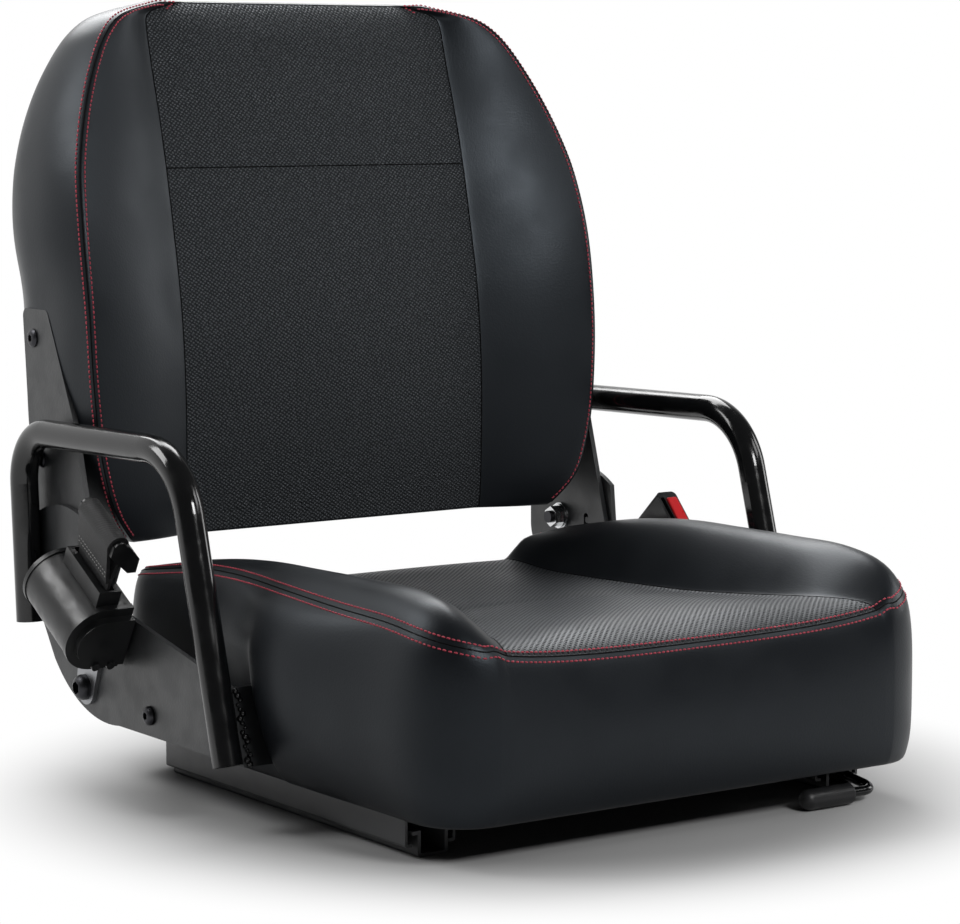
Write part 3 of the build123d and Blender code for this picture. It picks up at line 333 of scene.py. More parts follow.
def coons(front, right, rear, left):
    """Grid of points between four borders.

    The front and the rear run left to right, and the sides front to rear.
    """
    nx = len(front) - 1
    ny = len(left) - 1
    s = np.linspace(0, 1, nx + 1)[None, :, None]
    t = np.linspace(0, 1, ny + 1)[:, None, None]
    across = (1 - t) * front[None] + t * rear[None]
    down = (1 - s) * left[:, None] + s * right[:, None]
    near = (1 - s) * front[0] + s * front[-1]
    far = (1 - s) * rear[0] + s * rear[-1]
    return across + down - ((1 - t) * near + t * far)


def coordinates(mesh):
    """A mesh's vertices as an array."""
    values = np.zeros(len(mesh.vertices) * 3)
    mesh.vertices.foreach_get("co", values)
    return values.reshape(-1, 3)


def inflate(piece, pinned, pressure, caps):
    """Swells the panels between pinned seams as cloth under pressure.

    Each point goes no further than its cap, and less near a seam.
    """
    rest = coordinates(piece.data)
    group = piece.vertex_groups.new(name="seams")
    group.add([int(i) for i in pinned], 1.0, "REPLACE")
    cloth = piece.modifiers.new("Cloth", "CLOTH")
    settings = cloth.settings
    settings.quality = 6
    settings.mass = 0.25
    settings.tension_stiffness = 25
    settings.compression_stiffness = 25
    settings.shear_stiffness = 12
    settings.bending_stiffness = 4
    settings.vertex_group_mass = "seams"
    settings.use_pressure = True
    settings.uniform_pressure_force = pressure
    settings.effector_weights.gravity = 0
    cloth.collision_settings.use_collision = False
    for step in range(1, CLOTH_FRAMES + 1):
        bpy.context.scene.frame_set(step)
    evaluated = piece.evaluated_get(bpy.context.evaluated_depsgraph_get())
    moved = coordinates(evaluated.data) - rest
    piece.modifiers.remove(cloth)
    bpy.context.scene.frame_set(1)
    seams = KDTree(len(pinned))
    for i in pinned:
        seams.insert(rest[i], int(i))
    seams.balance()
    near = np.array([seams.find(point)[2] for point in rest])
    caps = caps * ease(near / SWELL_REACH)
    far = np.linalg.norm(moved, axis=1, keepdims=True)
    share = np.minimum(1, caps[:, None] / np.maximum(far, 1e-9))
    piece.data.vertices.foreach_set("co", (rest + moved * share).ravel())
    piece.data.update()


def relax(piece, held):
    """Evens out the surface: each free point moves towards the middle of its neighbours."""
    mesh = piece.data
    ends = np.zeros(len(mesh.edges) * 2, int)
    mesh.edges.foreach_get("vertices", ends)
    first, second = ends.reshape(-1, 2).T
    count = np.bincount(ends, minlength=len(mesh.vertices))[:, None]
    free = np.ones(len(mesh.vertices), bool)
    free[held] = False
    place = coordinates(mesh)
    for _ in range(RELAX_STEPS):
        total = np.zeros_like(place)
        np.add.at(total, first, place[second])
        np.add.at(total, second, place[first])
        place[free] += RELAX_SHARE * (total / count - place)[free]
    mesh.vertices.foreach_set("co", place.ravel())
    mesh.update()


def sink(piece, indices, depth):
    """Draws seam vertices in along their normals, so that the seam lies in a groove."""
    for i in indices:
        vertex = piece.data.vertices[int(i)]
        vertex.co -= vertex.normal * depth
    piece.data.update()


def crease(piece, chains):
    """Keeps some of the seams' sharpness when the mesh is subdivided."""
    runs = [[int(i) for i in chain] for chain in chains]
    pairs = {frozenset(pair) for run in runs for pair in zip(run, run[1:])}
    sharp = piece.data.attributes.new("crease_edge", "FLOAT", "EDGE")
    for edge in piece.data.edges:
        if frozenset(edge.vertices) in pairs:
            sharp.data[edge.index].value = SEAM_CREASE


def subdivide(piece):
    """One smooth subdivision, applied, so that the mesh that rides is the one that shows."""
    modifier = piece.modifiers.new("Subdivision", "SUBSURF")
    modifier.levels = 1
    modifier.render_levels = 1
    evaluated = piece.evaluated_get(bpy.context.evaluated_depsgraph_get())
    mesh = bpy.data.meshes.new_from_object(evaluated)
    piece.modifiers.remove(modifier)
    piece.data = mesh
    piece.data.shade_smooth()


def surface_tree(piece):
    """Search tree over a piece's faces, in the frame."""
    mesh = bmesh.new()
    mesh.from_mesh(piece.data)
    mesh.transform(piece.matrix_world)
    tree = BVHTree.FromBMesh(mesh)
    mesh.free()
    return tree


def spaced(points, pitch):
    """Points every pitch along a polyline, with whatever further columns come with them."""
    points = np.asarray(points, float)
    length = lengths(points[:, :3])
    places = np.linspace(0, length[-1], max(2, round(length[-1] / pitch)))
    return np.stack([np.interp(places, length, column) for column in points.T], axis=1)


def thread_ring(mesh, middle, side, other, radius):
    """Points round a thread, in the plane of two directions."""
    ring = []
    for turn in np.arange(THREAD_SIDES) * (2 * math.pi / THREAD_SIDES):
        out = side * math.cos(turn) + other * math.sin(turn)
        ring.append(mesh.verts.new(middle + out * radius))
    return ring


def thread_wall(mesh, low, high, shift=0):
    """Faces between two rings, the second one turned by some of its points."""
    for k in range(THREAD_SIDES):
        after = (k + 1) % THREAD_SIDES
        first, second = ((i + shift) % THREAD_SIDES for i in (k, k + 1))
        mesh.faces.new((low[k], low[after], high[second], high[first]))


def thread_ends(mesh, rings):
    """Flat ends of a thread."""
    mesh.faces.new(list(reversed(rings[0])))
    mesh.faces.new(rings[-1])


def capsule(mesh, centre, direction, normal, length, radius):
    """One sewn stitch: a short rounded thread that dips at both ends."""
    side = direction.cross(normal).normalized()
    rings = []
    for share, size, dip in STITCH_FORM:
        middle = centre + direction * (share * length) + normal * (dip * radius)
        rings.append(thread_ring(mesh, middle, side, normal, radius * size))
    for low, high in zip(rings, rings[1:]):
        thread_wall(mesh, low, high)
    thread_ends(mesh, rings)


def finished(name, mesh, material):
    """An object from a filled mesh, with its material."""
    data = bpy.data.meshes.new(name)
    mesh.normal_update()
    mesh.to_mesh(data)
    mesh.free()
    data.shade_smooth()
    data.materials.append(material)
    piece = bpy.data.objects.new(name, data)
    bpy.context.scene.collection.objects.link(piece)
    return piece


def stitch_rows(name, tree, seams):
    """Twin rows of red stitches, one on each side of every seam, laid on the surface.

    A seam's rows are points with the mean normal of the two panels there.
    """
    mesh = bmesh.new()
    for seam in seams:
        seam = spaced(seam, STITCH_PITCH)
        for before, place, after in zip(seam, seam[1:], seam[2:]):
            along_seam = Vector(after[:3] - before[:3]).normalized()
            aside = along_seam.cross(Vector(place[3:])).normalized()
            for offset in (-STITCH_OFFSET, STITCH_OFFSET):
                point, normal, _, _ = tree.find_nearest(Vector(place[:3]) + aside * offset)
                direction = (along_seam - normal * along_seam.dot(normal)).normalized()
                point += normal * STITCH_LIFT
                capsule(mesh, point, direction, normal, STITCH_LENGTH, STITCH_RADIUS)
    return finished(name, mesh, THREAD)


def painted_seam_lines(name, seams):
    """Painted shade in each seam, where two panels are drawn together: a thin near-black cord along the
    groove.
    """
    mesh = bmesh.new()
    for seam in seams:
        places = spaced(seam, SEAM_LINE_PITCH)
        rings = []
        for k, place in enumerate(places):
            ahead = places[min(k + 1, len(places) - 1)] - places[max(k - 1, 0)]
            ahead = Vector(ahead).normalized()
            side = ahead.orthogonal().normalized()
            other = ahead.cross(side)
            rings.append(thread_ring(mesh, Vector(place), side, other, SEAM_LINE_RADIUS))
        for low, high in zip(rings, rings[1:]):
            gaps = [(low[0].co - point.co).length for point in high]
            thread_wall(mesh, low, high, gaps.index(min(gaps)))
        thread_ends(mesh, rings)
    return finished(name, mesh, SEAM_SHADE)


# Materials


class Nodes:
    """A node tree under construction, with short calls for its usual nodes."""

    def __init__(self, tree):
        self.tree = tree

    def node(self, kind, **values):
        made = self.tree.nodes.new(kind)
        for key, value in values.items():
            setattr(made, key, value)
        return made

    def link(self, output, socket):
        self.tree.links.new(output, socket)

    def ramp(self, value, low, high, out_low, out_high, smooth_step=True):
        made = self.node("ShaderNodeMapRange")
        if smooth_step:
            made.interpolation_type = "SMOOTHSTEP"
        made.inputs["From Min"].default_value = low
        made.inputs["From Max"].default_value = high
        made.inputs["To Min"].default_value = out_low
        made.inputs["To Max"].default_value = out_high
        self.link(value, made.inputs["Value"])
        return made.outputs["Result"]

    def math(self, operation, first, second=0):
        made = self.node("ShaderNodeMath", operation=operation)
        for socket, value in zip(made.inputs, (first, second)):
            if isinstance(value, (int, float)):
                socket.default_value = value
            else:
                self.link(value, socket)
        return made.outputs[0]


class Shade(Nodes):
    """A principled material under construction, textured by the object's own coordinates."""

    def __init__(self, name, colour, rough, metal=0.0, specular=0.5):
        self.material = bpy.data.materials.new(name)
        self.material.use_nodes = True
        super().__init__(self.material.node_tree)
        self.shader = self.tree.nodes["Principled BSDF"]
        self.shader.inputs["Base Color"].default_value = (*colour, 1)
        self.shader.inputs["Roughness"].default_value = rough
        self.shader.inputs["Metallic"].default_value = metal
        self.shader.inputs["Specular IOR Level"].default_value = specular
        self.place = self.node("ShaderNodeTexCoord").outputs["Object"]

    def noise(self, scale, detail=3.0, rough=0.5, place=None):
        made = self.node("ShaderNodeTexNoise")
        made.inputs["Scale"].default_value = scale
        made.inputs["Detail"].default_value = detail
        made.inputs["Roughness"].default_value = rough
        self.link(place or self.place, made.inputs["Vector"])
        return made.outputs["Fac"]

    def cells(self, scale, randomness=1.0, place=None):
        made = self.node("ShaderNodeTexVoronoi")
        made.inputs["Scale"].default_value = scale
        made.inputs["Randomness"].default_value = randomness
        self.link(place or self.place, made.inputs["Vector"])
        return made.outputs["Distance"]

    def mix(self, share, first, second):
        made = self.node("ShaderNodeMix", data_type="RGBA")
        self.link(share, made.inputs[0])
        made.inputs[6].default_value = (*first, 1)
        made.inputs[7].default_value = (*second, 1)
        return made.outputs[2]

    def turned(self, scale=(1, 1, 1), turn=(0, 0, 0), place=None):
        made = self.node("ShaderNodeMapping")
        made.inputs["Scale"].default_value = scale
        made.inputs["Rotation"].default_value = turn
        self.link(place or self.place, made.inputs["Vector"])
        return made.outputs["Vector"]

    def flat(self, first, second):
        """Two of the place's axes as a flat plane, for a pattern that doesn't change with depth."""
        parts = self.node("ShaderNodeSeparateXYZ")
        self.link(self.place, parts.inputs[0])
        made = self.node("ShaderNodeCombineXYZ")
        self.link(parts.outputs[first], made.inputs[0])
        self.link(parts.outputs[second], made.inputs[1])
        return made.outputs[0]

    def bump(self, height, distance, strength=1.0):
        made = self.node("ShaderNodeBump")
        made.inputs["Strength"].default_value = strength
        made.inputs["Distance"].default_value = distance
        self.link(height, made.inputs["Height"])
        self.link(made.outputs["Normal"], self.shader.inputs["Normal"])

    def set(self, socket, output):
        self.link(output, self.shader.inputs[socket])


def vinyl():
    """Smooth black upholstery vinyl with a fine pebble grain and a soft satin sheen."""
    shade = Shade("vinyl", (0.008, 0.009, 0.011), 0.37, specular=0.25)
    shade.shader.inputs["Specular Tint"].default_value = (0.80, 0.90, 1.0, 1)
    dark, light = (0.007, 0.008, 0.0097), (0.010, 0.0113, 0.0135)
    shade.set("Base Color", shade.mix(shade.noise(9.0), dark, light))
    shade.set("Roughness", shade.ramp(shade.noise(22.0), 0.3, 0.7, 0.34, 0.42))
    grain = shade.cells(620.0)
    fine = shade.noise(1500.0, 2.0)
    shade.bump(shade.math("ADD", grain, shade.math("MULTIPLY", fine, 0.4)), 0.00012, 0.35)
    return shade.material


def dimpled(name, first, second, pitch, hole, colour):
    """Textured insert: a diagonal lattice of small pressed dots over a grained black vinyl, with painted
    shade in the dots.
    """
    shade = Shade(name, colour, 0.45, specular=0.55)
    shade.shader.inputs["Specular Tint"].default_value = (0.84, 0.92, 1.0, 1)
    lattice = shade.turned(turn=(0, 0, math.radians(45)), place=shade.flat(first, second))
    dots = shade.ramp(shade.cells(1 / pitch, 0.0, lattice), hole - 0.12, hole + 0.12, 0.0, 1.0)
    # Painted shade: the pressed dots are darkened as if in shadow
    dark, light = (tuple(c * k for c in colour) for k in (0.08, 1.3))
    shade.set("Base Color", shade.mix(dots, dark, light))
    shade.set("Roughness", shade.ramp(dots, 0.0, 1.0, 0.85, 0.38, smooth_step=False))
    grain = shade.math("MULTIPLY", shade.noise(900.0, 3.0), 0.2)
    shade.bump(shade.math("ADD", dots, grain), 0.0011, 0.9)
    return shade.material


def pebbled(name, first, second, pitch, uneven, colour):
    """Embossed insert: close rows of small uneven pebbles, with painted highlights on their tops and
    painted shade in the valleys between them.
    """
    shade = Shade(name, colour, 0.42, specular=0.6)
    shade.shader.inputs["Specular Tint"].default_value = (0.84, 0.92, 1.0, 1)
    flat = shade.flat(first, second)
    lattice = shade.turned(scale=(1.0, 1.25, 1.0), turn=(0, 0, math.radians(38)), place=flat)
    tops = shade.ramp(shade.cells(1 / pitch, uneven, lattice), 0.14, 0.58, 1.0, 0.0)
    # Painted light: the pebbles' tops lighter as highlights, the valleys darker as shade
    dark, light = (tuple(c * k for c in colour) for k in (0.1, 2.7))
    shade.set("Base Color", shade.mix(tops, dark, light))
    shade.set("Roughness", shade.ramp(tops, 0.0, 1.0, 0.75, 0.36, smooth_step=False))
    worn = shade.math("MULTIPLY", shade.noise(420.0, 3.0), 0.5)
    shade.bump(shade.math("ADD", tops, worn), 0.0014, 1.0)
    return shade.material


def powder_coat(name, colour, rough, peel, strength):
    """Black powder coat with the fine orange peel that such a coat has."""
    shade = Shade(name, colour, rough)
    lighter = tuple(c * 1.35 for c in colour)
    shade.set("Base Color", shade.mix(shade.noise(40.0), colour, lighter))
    shade.set("Roughness", shade.ramp(shade.noise(60.0), 0.3, 0.7, rough - 0.05, rough + 0.07))
    shade.bump(shade.noise(peel, 2.0, 0.6), 0.00025, strength)
    return shade.material


def plated(name, colour, rough, brushed):
    """Metal with fine uneven brushing."""
    shade = Shade(name, colour, rough, metal=1.0)
    streaks = shade.noise(160.0, 4.0, 0.6, shade.turned(scale=(1, 1, brushed)))
    darker = tuple(c * 0.72 for c in colour)
    shade.set("Base Color", shade.mix(streaks, darker, colour))
    shade.set("Roughness", shade.ramp(streaks, 0.25, 0.75, rough - 0.08, rough + 0.1))
    shade.bump(streaks, 0.00008, 0.3)
    return shade.material


def moulded(name, colour, rough, grain):
    """Moulded plastic with a spark-eroded texture."""
    shade = Shade(name, colour, rough)
    lighter = tuple(c * 1.4 for c in colour)
    shade.set("Base Color", shade.mix(shade.noise(30.0), colour, lighter))
    shade.set("Roughness", shade.ramp(shade.noise(80.0), 0.3, 0.7, rough - 0.06, rough + 0.08))
    shade.bump(shade.cells(grain), 0.0001, 0.4)
    return shade.material


def webbing():
    """Woven belt webbing: fine warp ribs along the belt, crossed by the weft, with painted shade in the
    weave's dips.
    """
    shade = Shade("webbing", (0.01, 0.01, 0.011), 0.55, specular=0.4)
    turn = (math.radians(30), 0, 0)
    parts = shade.node("ShaderNodeSeparateXYZ")
    shade.link(shade.turned(turn=turn), parts.inputs[0])
    warp = shade.math("SINE", shade.math("MULTIPLY", parts.outputs[1], 2 * math.pi / 0.0016))
    weft = shade.math("SINE", shade.math("MULTIPLY", parts.outputs[2], 2 * math.pi / 0.0012))
    weave = shade.math("MULTIPLY", warp, weft)
    crossing = shade.ramp(weave, -1, 1, 0, 1)
    # Painted shade: darker in the weave's dips and lighter on its raised crossings, following the bump's
    # height
    shade.set("Base Color", shade.mix(crossing, (0.005, 0.005, 0.0055), (0.016, 0.016, 0.0175)))
    shade.shader.inputs["Sheen Weight"].default_value = 0.08
    shade.bump(weave, 0.0003, 0.6)
    return shade.material


def thread(name, colour):
    """Sewing thread with its twist."""
    shade = Shade(name, colour, 0.6)
    darker, lighter = (tuple(c * k for c in colour) for k in (0.7, 1.3))
    shade.set("Base Color", shade.mix(shade.noise(300.0), darker, lighter))
    shade.bump(shade.noise(2500.0, 1.0), 0.0002, 0.5)
    return shade.material


def seam_shade_cord():
    """Near-black matte cord that paints the shade deep in a seam."""
    shade = Shade("seam_shade_cord", (0.002, 0.002, 0.0022), 0.8, specular=0.1)
    dark, light = (0.0015, 0.0015, 0.0017), (0.003, 0.003, 0.0033)
    shade.set("Base Color", shade.mix(shade.noise(400.0), dark, light))
    return shade.material


MATERIALS = {
    "vinyl": vinyl(),
    "black_paint": powder_coat("black_paint", (0.022, 0.0232, 0.0248), 0.36, 520.0, 0.45),
    "tube_paint": powder_coat("tube_paint", (0.004, 0.0042, 0.0046), 0.14, 300.0, 0.08),
    "rail_paint": powder_coat("rail_paint", (0.06, 0.0612, 0.0635), 0.36, 800.0, 0.2),
    "black_screw": plated("black_screw", (0.05, 0.05, 0.055), 0.38, 1.0),
    "zinc": plated("zinc", (0.78, 0.79, 0.80), 0.22, 0.25),
    "steel": plated("steel", (0.36, 0.365, 0.38), 0.38, 0.15),
    "nylon": moulded("nylon", (0.6, 0.58, 0.53), 0.5, 900.0),
    "black_plastic": moulded("black_plastic", (0.007, 0.0074, 0.008), 0.34, 1100.0),
    "red_plastic": moulded("red_plastic", (0.60, 0.012, 0.016), 0.32, 1400.0),
    "webbing": webbing(),
    "grip_rubber": moulded("grip_rubber", (0.012, 0.012, 0.013), 0.45, 700.0),
}
BACK_INSERT = pebbled("back_insert", 0, 2, 2.7 * MM, 0.22, (0.024, 0.0256, 0.028))
SEAT_INSERT = dimpled("seat_insert", 0, 1, 3.2 * MM, 0.26, (0.016, 0.017, 0.0188))
THREAD = thread("red_thread", (0.46, 0.045, 0.075))
PALE_THREAD = thread("pale_thread", (0.32, 0.32, 0.31))
# Near-black cord material: painted shade in the seams
SEAM_SHADE = seam_shade_cord()
# Nodes with the glossier coat of the tubes
TUBES = ("hip_tube_left", "hip_tube_right", "lever_rod")


def finish_nodes():
    """Gives every node of the frame the material of its slot, save the tubes and the lever rod, which
    get the tubes' glossier coat.
    """
    for row in frame["record"]["subparts"]:
        node = frame["nodes"][row["node"]]
        slot = "tube_paint" if row["node"] in TUBES else row["material_slot"]
        node.data.materials.clear()
        node.data.materials.append(MATERIALS[slot])


# Upholstery


def both_sides(shares, inner, outer):
    """Places across a row: the left bolster, the insert and the right bolster, by their shares."""
    bolster = inner + (outer - inner) * shares
    insert = inner * INSERT_SHARES
    right = np.concatenate([insert, bolster[1:]])
    return np.concatenate([-right[:0:-1], right])


def backrest_ring(level):
    """One level of the backrest: front row left to right, right side, rear row, left side."""
    seam_x, seam_y, insert_y, rear_x, rear_y = (
        smooth(BACKREST_SECTIONS[:, 0], BACKREST_SECTIONS[:, k], level) for k in range(1, 6)
    )
    inner = min(BACK_INSERT_HALF, BACK_INSERT_SHARE * seam_x)
    x = both_sides(BOLSTER_SHARES, inner, seam_x)
    share = np.clip((np.abs(x) - inner) / (seam_x - inner), 0, 1)
    y = insert_y + (seam_y - insert_y) * smooth(*BACK_BOLSTER, share)
    front = np.stack([x, y, np.full_like(x, level)], axis=1)
    turn = min(BACKREST_REAR_R, BACK_CORNER_SHARE * (rear_y - seam_y))
    out, back = BACK_SIDE_SWELL
    profile = [
        (seam_x, seam_y),
        (seam_x + out * (rear_x - seam_x), seam_y + back * (rear_y - seam_y)),
        (rear_x, 0.5 * (seam_y + rear_y)),
    ]
    profile += [(rear_x - inset * turn, rear_y - ahead * turn) for inset, ahead in BACK_CORNER]
    side = along(profile, SIDE_SHARES)
    side = np.column_stack([side, np.full(len(side), level)])
    across = np.linspace(1, -1, len(x))
    crown = rear_y + BACK_REAR_CROWN * (1 - across**2)
    rear = np.stack([across * side[-1][0], crown, np.full_like(across, level)], axis=1)
    left = side * (-1, 1, 1)
    return front, side, rear, left


def ring_of(front, right, rear, left):
    """The four runs of a level as one closed ring."""
    return np.concatenate([front[:-1], right[:-1], rear[:-1], left[:0:-1]])


def backrest_levels():
    """Levels of the backrest's rows, close beside the cross seam and over the shoulders."""
    low, seam, high = BACKREST_SECTIONS[0, 0], BACK_CROSS_SEAM, BACKREST_SECTIONS[-1, 0]
    shoulder = BACK_SHOULDER_FROM
    below = np.linspace(low, seam - BACK_CROSS_CLEAR, round((seam - low) / BACK_LEVEL_STEP))
    beside = [seam - BACK_CROSS_BESIDE, seam, seam + BACK_CROSS_BESIDE]
    steps = round((shoulder - seam) / BACK_LEVEL_STEP)
    above = np.linspace(seam + BACK_CROSS_CLEAR, shoulder, steps)
    return np.concatenate([below, beside, above, BACK_SHOULDER_LEVELS, [high]])


def dress(piece, insert, material):
    """Vinyl all over, and the insert's own material on the faces between its points."""
    piece.data.materials.append(MATERIALS["vinyl"])
    piece.data.materials.append(material)
    for face in piece.data.polygons:
        face.material_index = int(all(v in insert for v in face.vertices))


def backrest():
    """Backrest cushion: two bolsters and a textured insert in front, full sides, a plain rear."""
    levels = backrest_levels()
    runs = [backrest_ring(level) for level in levels]
    caps = []
    for run, rise in ((runs[0], BACK_BOTTOM_RISE), (runs[-1], BACK_TOP_RISE)):
        front, right, rear, left = run
        cap = coons(front, right, rear[::-1], left)
        t = np.linspace(0, 1, len(left))[:, None]
        cap[:, :, 2] += rise * np.sin(math.pi * t)
        caps.append(cap)
    grid = ClosedGrid(caps[0], [ring_of(*run) for run in runs[1:-1]], caps[1])
    piece = grid.object("backrest_upholstery")
    nx = grid.nx
    bolster = len(BOLSTER_SHARES) - 1
    rings = np.array(grid.rings)
    left_edge, left_insert, right_insert, right_edge = rings[:, [0, bolster, nx - bolster, nx]].T
    top_row = rings[-1, : nx + 1]
    cross = int(np.argmin(np.abs(levels - BACK_CROSS_SEAM)))
    cross_row = rings[cross, bolster : nx - bolster + 1]
    edges = [left_edge, left_insert, right_insert, right_edge]
    sewn = np.unique(np.concatenate([*edges, top_row, cross_row]))
    ends = np.array(list(grid.bottom.values()) + list(grid.top.values()))
    pinned = np.unique(np.concatenate([sewn, ends]))
    insert = set(rings[:, bolster : nx - bolster + 1].ravel().tolist())
    dress(piece, insert, BACK_INSERT)
    caps = np.full(len(piece.data.vertices), BOLSTER_SWELL)
    caps[list(insert)] = INSERT_SWELL
    inflate(piece, pinned, PRESSURE, caps)
    relax(piece, ends)
    sink(piece, sewn, SEAM_DEPTH)
    left_top = np.concatenate([left_edge, top_row[1 : bolster + 1]])
    right_top = np.concatenate([right_edge, top_row[nx - 1 : nx - bolster - 1 : -1]])
    chains = [left_top, right_top, left_insert, right_insert, cross_row]
    sew(piece, "backrest", "backrest_cushion", chains, chains[:2])


def sew(piece, body, node, chains, stitched):
    """Finishes a cushion: seams, cords of painted shade in them, twin stitching, its body and the node
    it shows.
    """
    crease(piece, chains)
    subdivide(piece)
    place = coordinates(piece.data)
    normals = np.array([vertex.normal for vertex in piece.data.vertices])
    tree = surface_tree(piece)
    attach(piece, body)
    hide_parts(node)
    lines = painted_seam_lines(body + "_seam_shade", [place[chain] for chain in chains])
    sewn = [np.hstack([place[chain], normals[chain]]) for chain in stitched]
    rows = stitch_rows(body + "_stitching", tree, sewn)
    for extra in (lines, rows):
        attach(extra, body)


def seat_rows():
    """Rows of the seat cushion from front to rear: the kind, with the corner's turn or the row's y."""
    turns = np.radians(np.arange(0, 90, CORNER_STEP))
    ahead = np.linspace(CUSHION_FRONT + CUSHION_CORNER, *ROWS_AHEAD)
    start, count = ROWS_BEHIND
    behind = np.linspace(start, CUSHION_REAR - CUSHION_CORNER, count)
    rows = [("front", turn) for turn in turns]
    rows += [("middle", y) for y in np.concatenate([ahead, SEAT_CLOSE_ROWS, behind])]
    return rows + [("rear", turn) for turn in turns[::-1]]


def row_edge(row, inset):
    """Half-width and y of a seat row's end, for a plan drawn in by an inset."""
    kind, value = row
    straight = CUSHION_HALF - CUSHION_CORNER
    radius = CUSHION_CORNER - inset
    if kind == "middle":
        return CUSHION_HALF - inset, value
    half = straight + radius * math.sin(value)
    if kind == "front":
        return half, CUSHION_FRONT + CUSHION_CORNER - radius * math.cos(value)
    return half, CUSHION_REAR - CUSHION_CORNER + radius * math.cos(value)


def insert_half(y):
    """Half-width of the seat's insert, which flares towards the front seam."""
    share = np.clip((INSERT_FLARE_FROM - y) / INSERT_FLARE_SPAN, 0, 1)
    return SEAT_INSERT_HALF + (SEAT_INSERT_FRONT_HALF - SEAT_INSERT_HALF) * share**2


def seat_top(row):
    """One row of the seat's top: dished insert, then each bolster's inner wall, crest and roll."""
    half, y = row_edge(row, EDGE_SEAM_INSET)
    inner = min(insert_half(y), half - INSERT_MARGIN)
    x = both_sides(BOLSTER_SHARES, inner, half)
    stations, *curves = SEAT_STATIONS.T
    dish, seam, crest, edge = (smooth(stations, curve, y) for curve in curves)
    on_insert = dish + (seam - dish) * np.clip(np.abs(x) / inner, 0, 1) ** 4
    lobes = np.sin(math.pi * x / RIDGE_LOBES) ** 2 * np.clip(2 - 2 * np.abs(x) / inner, 0, 1)
    on_insert += RIDGE_RISE * lobes * math.exp(-(((y - RIDGE_Y) / RIDGE_SPAN) ** 2))
    share = np.clip((np.abs(x) - inner) / (half - inner), 0, 1)
    inside = seam + SEAT_INNER_RISE * (crest - seam)
    outside = edge + SEAT_OUTER_RISE * (crest - edge)
    heights = (seam, inside, crest, outside, edge)
    z = np.where(share > 0, smooth(SEAT_BOLSTER_SHARES, heights, share), on_insert)
    return np.stack([x, np.full_like(x, y), z], axis=1)


def seat_border(rows, inset):
    """Plan of the seat's border at an inset, in ring order."""
    ends = [row_edge(row, inset) for row in rows]
    right = np.array(ends)
    half_front, y_front = ends[0]
    half_rear, y_rear = ends[-1]
    columns = seat_top(rows[0])[:, 0] / row_edge(rows[0], EDGE_SEAM_INSET)[0]
    front = np.column_stack([columns * half_front, np.full(len(columns), y_front)])
    rear = np.column_stack([columns[::-1] * half_rear, np.full(len(columns), y_rear)])
    left = right * (-1, 1)
    return ring_of(front, right, rear, left)


def bulged(wall):
    """A ring of the skirt, swollen on each side ahead of the flange and above it."""
    x, y, z = wall.T
    lean = np.interp(z, (FLANGE_FOOT[1], FLANGE_HEAD[1]), (FLANGE_FOOT[0], FLANGE_HEAD[0]))
    ahead = ease((lean - y) / BULGE_TURN)
    above = 1 - ease((y - FLANGE_HEAD[0]) / BULGE_BEHIND)
    share = ahead + (above - ahead) * ease((z - FLANGE_HEAD[1] - BULGE_LIFT) / BULGE_BLEND)
    share *= 1 - ease((FLANGE_FOOT[0] - BULGE_LEAD - y) / BULGE_AHEAD)
    height = np.clip((z - CUSHION_BOTTOM) / (BULGE_TOP - CUSHION_BOTTOM), 0, 1)
    out = BULGE * share * np.sin(math.pi * height) ** BULGE_ROUNDNESS
    return np.column_stack([x + np.sign(x) * out, y, z])


def seat_ring(rows, inset, height):
    """The seat's border at an inset, at one height or with a height for each point."""
    plan = seat_border(rows, inset)
    return np.column_stack([plan, np.broadcast_to(height, len(plan))])


def seat_grid():
    """The seat cushion's closed grid: hollow underside, swollen skirt and dished top."""
    rows = seat_rows()
    top = np.array([seat_top(row) for row in rows])
    seam_z = ring_of(top[0], top[:, -1], top[-1, ::-1], top[:, 0])[:, 2]
    roof, *walls = (seat_ring(rows, inset, height) for inset, height in UNDERSIDE)
    skirt = [seat_ring(rows, inset, CUSHION_BOTTOM + rise) for rise, inset in reversed(SKIRT_FOOT)]
    low = CUSHION_BOTTOM + SKIRT_FOOT[0][0]
    high = seam_z - SKIRT_TOP[-1][0]
    for k in range(1, SKIRT_MIDDLE):
        skirt.append(seat_ring(rows, 0.0, low + (high - low) * (k / SKIRT_MIDDLE)))
    skirt += [seat_ring(rows, inset, seam_z - drop) for drop, inset in reversed(SKIRT_TOP)]
    walls += [bulged(ring) for ring in skirt]
    across, down = top.shape[1], top.shape[0]
    front, right = roof[:across], roof[across - 1 : across + down - 1]
    rear = roof[across + down - 2 : 2 * across + down - 2][::-1]
    left = np.concatenate([roof[:1], roof[: 2 * across + down - 4 : -1]])
    return ClosedGrid(coons(front, right, rear, left), walls, top)


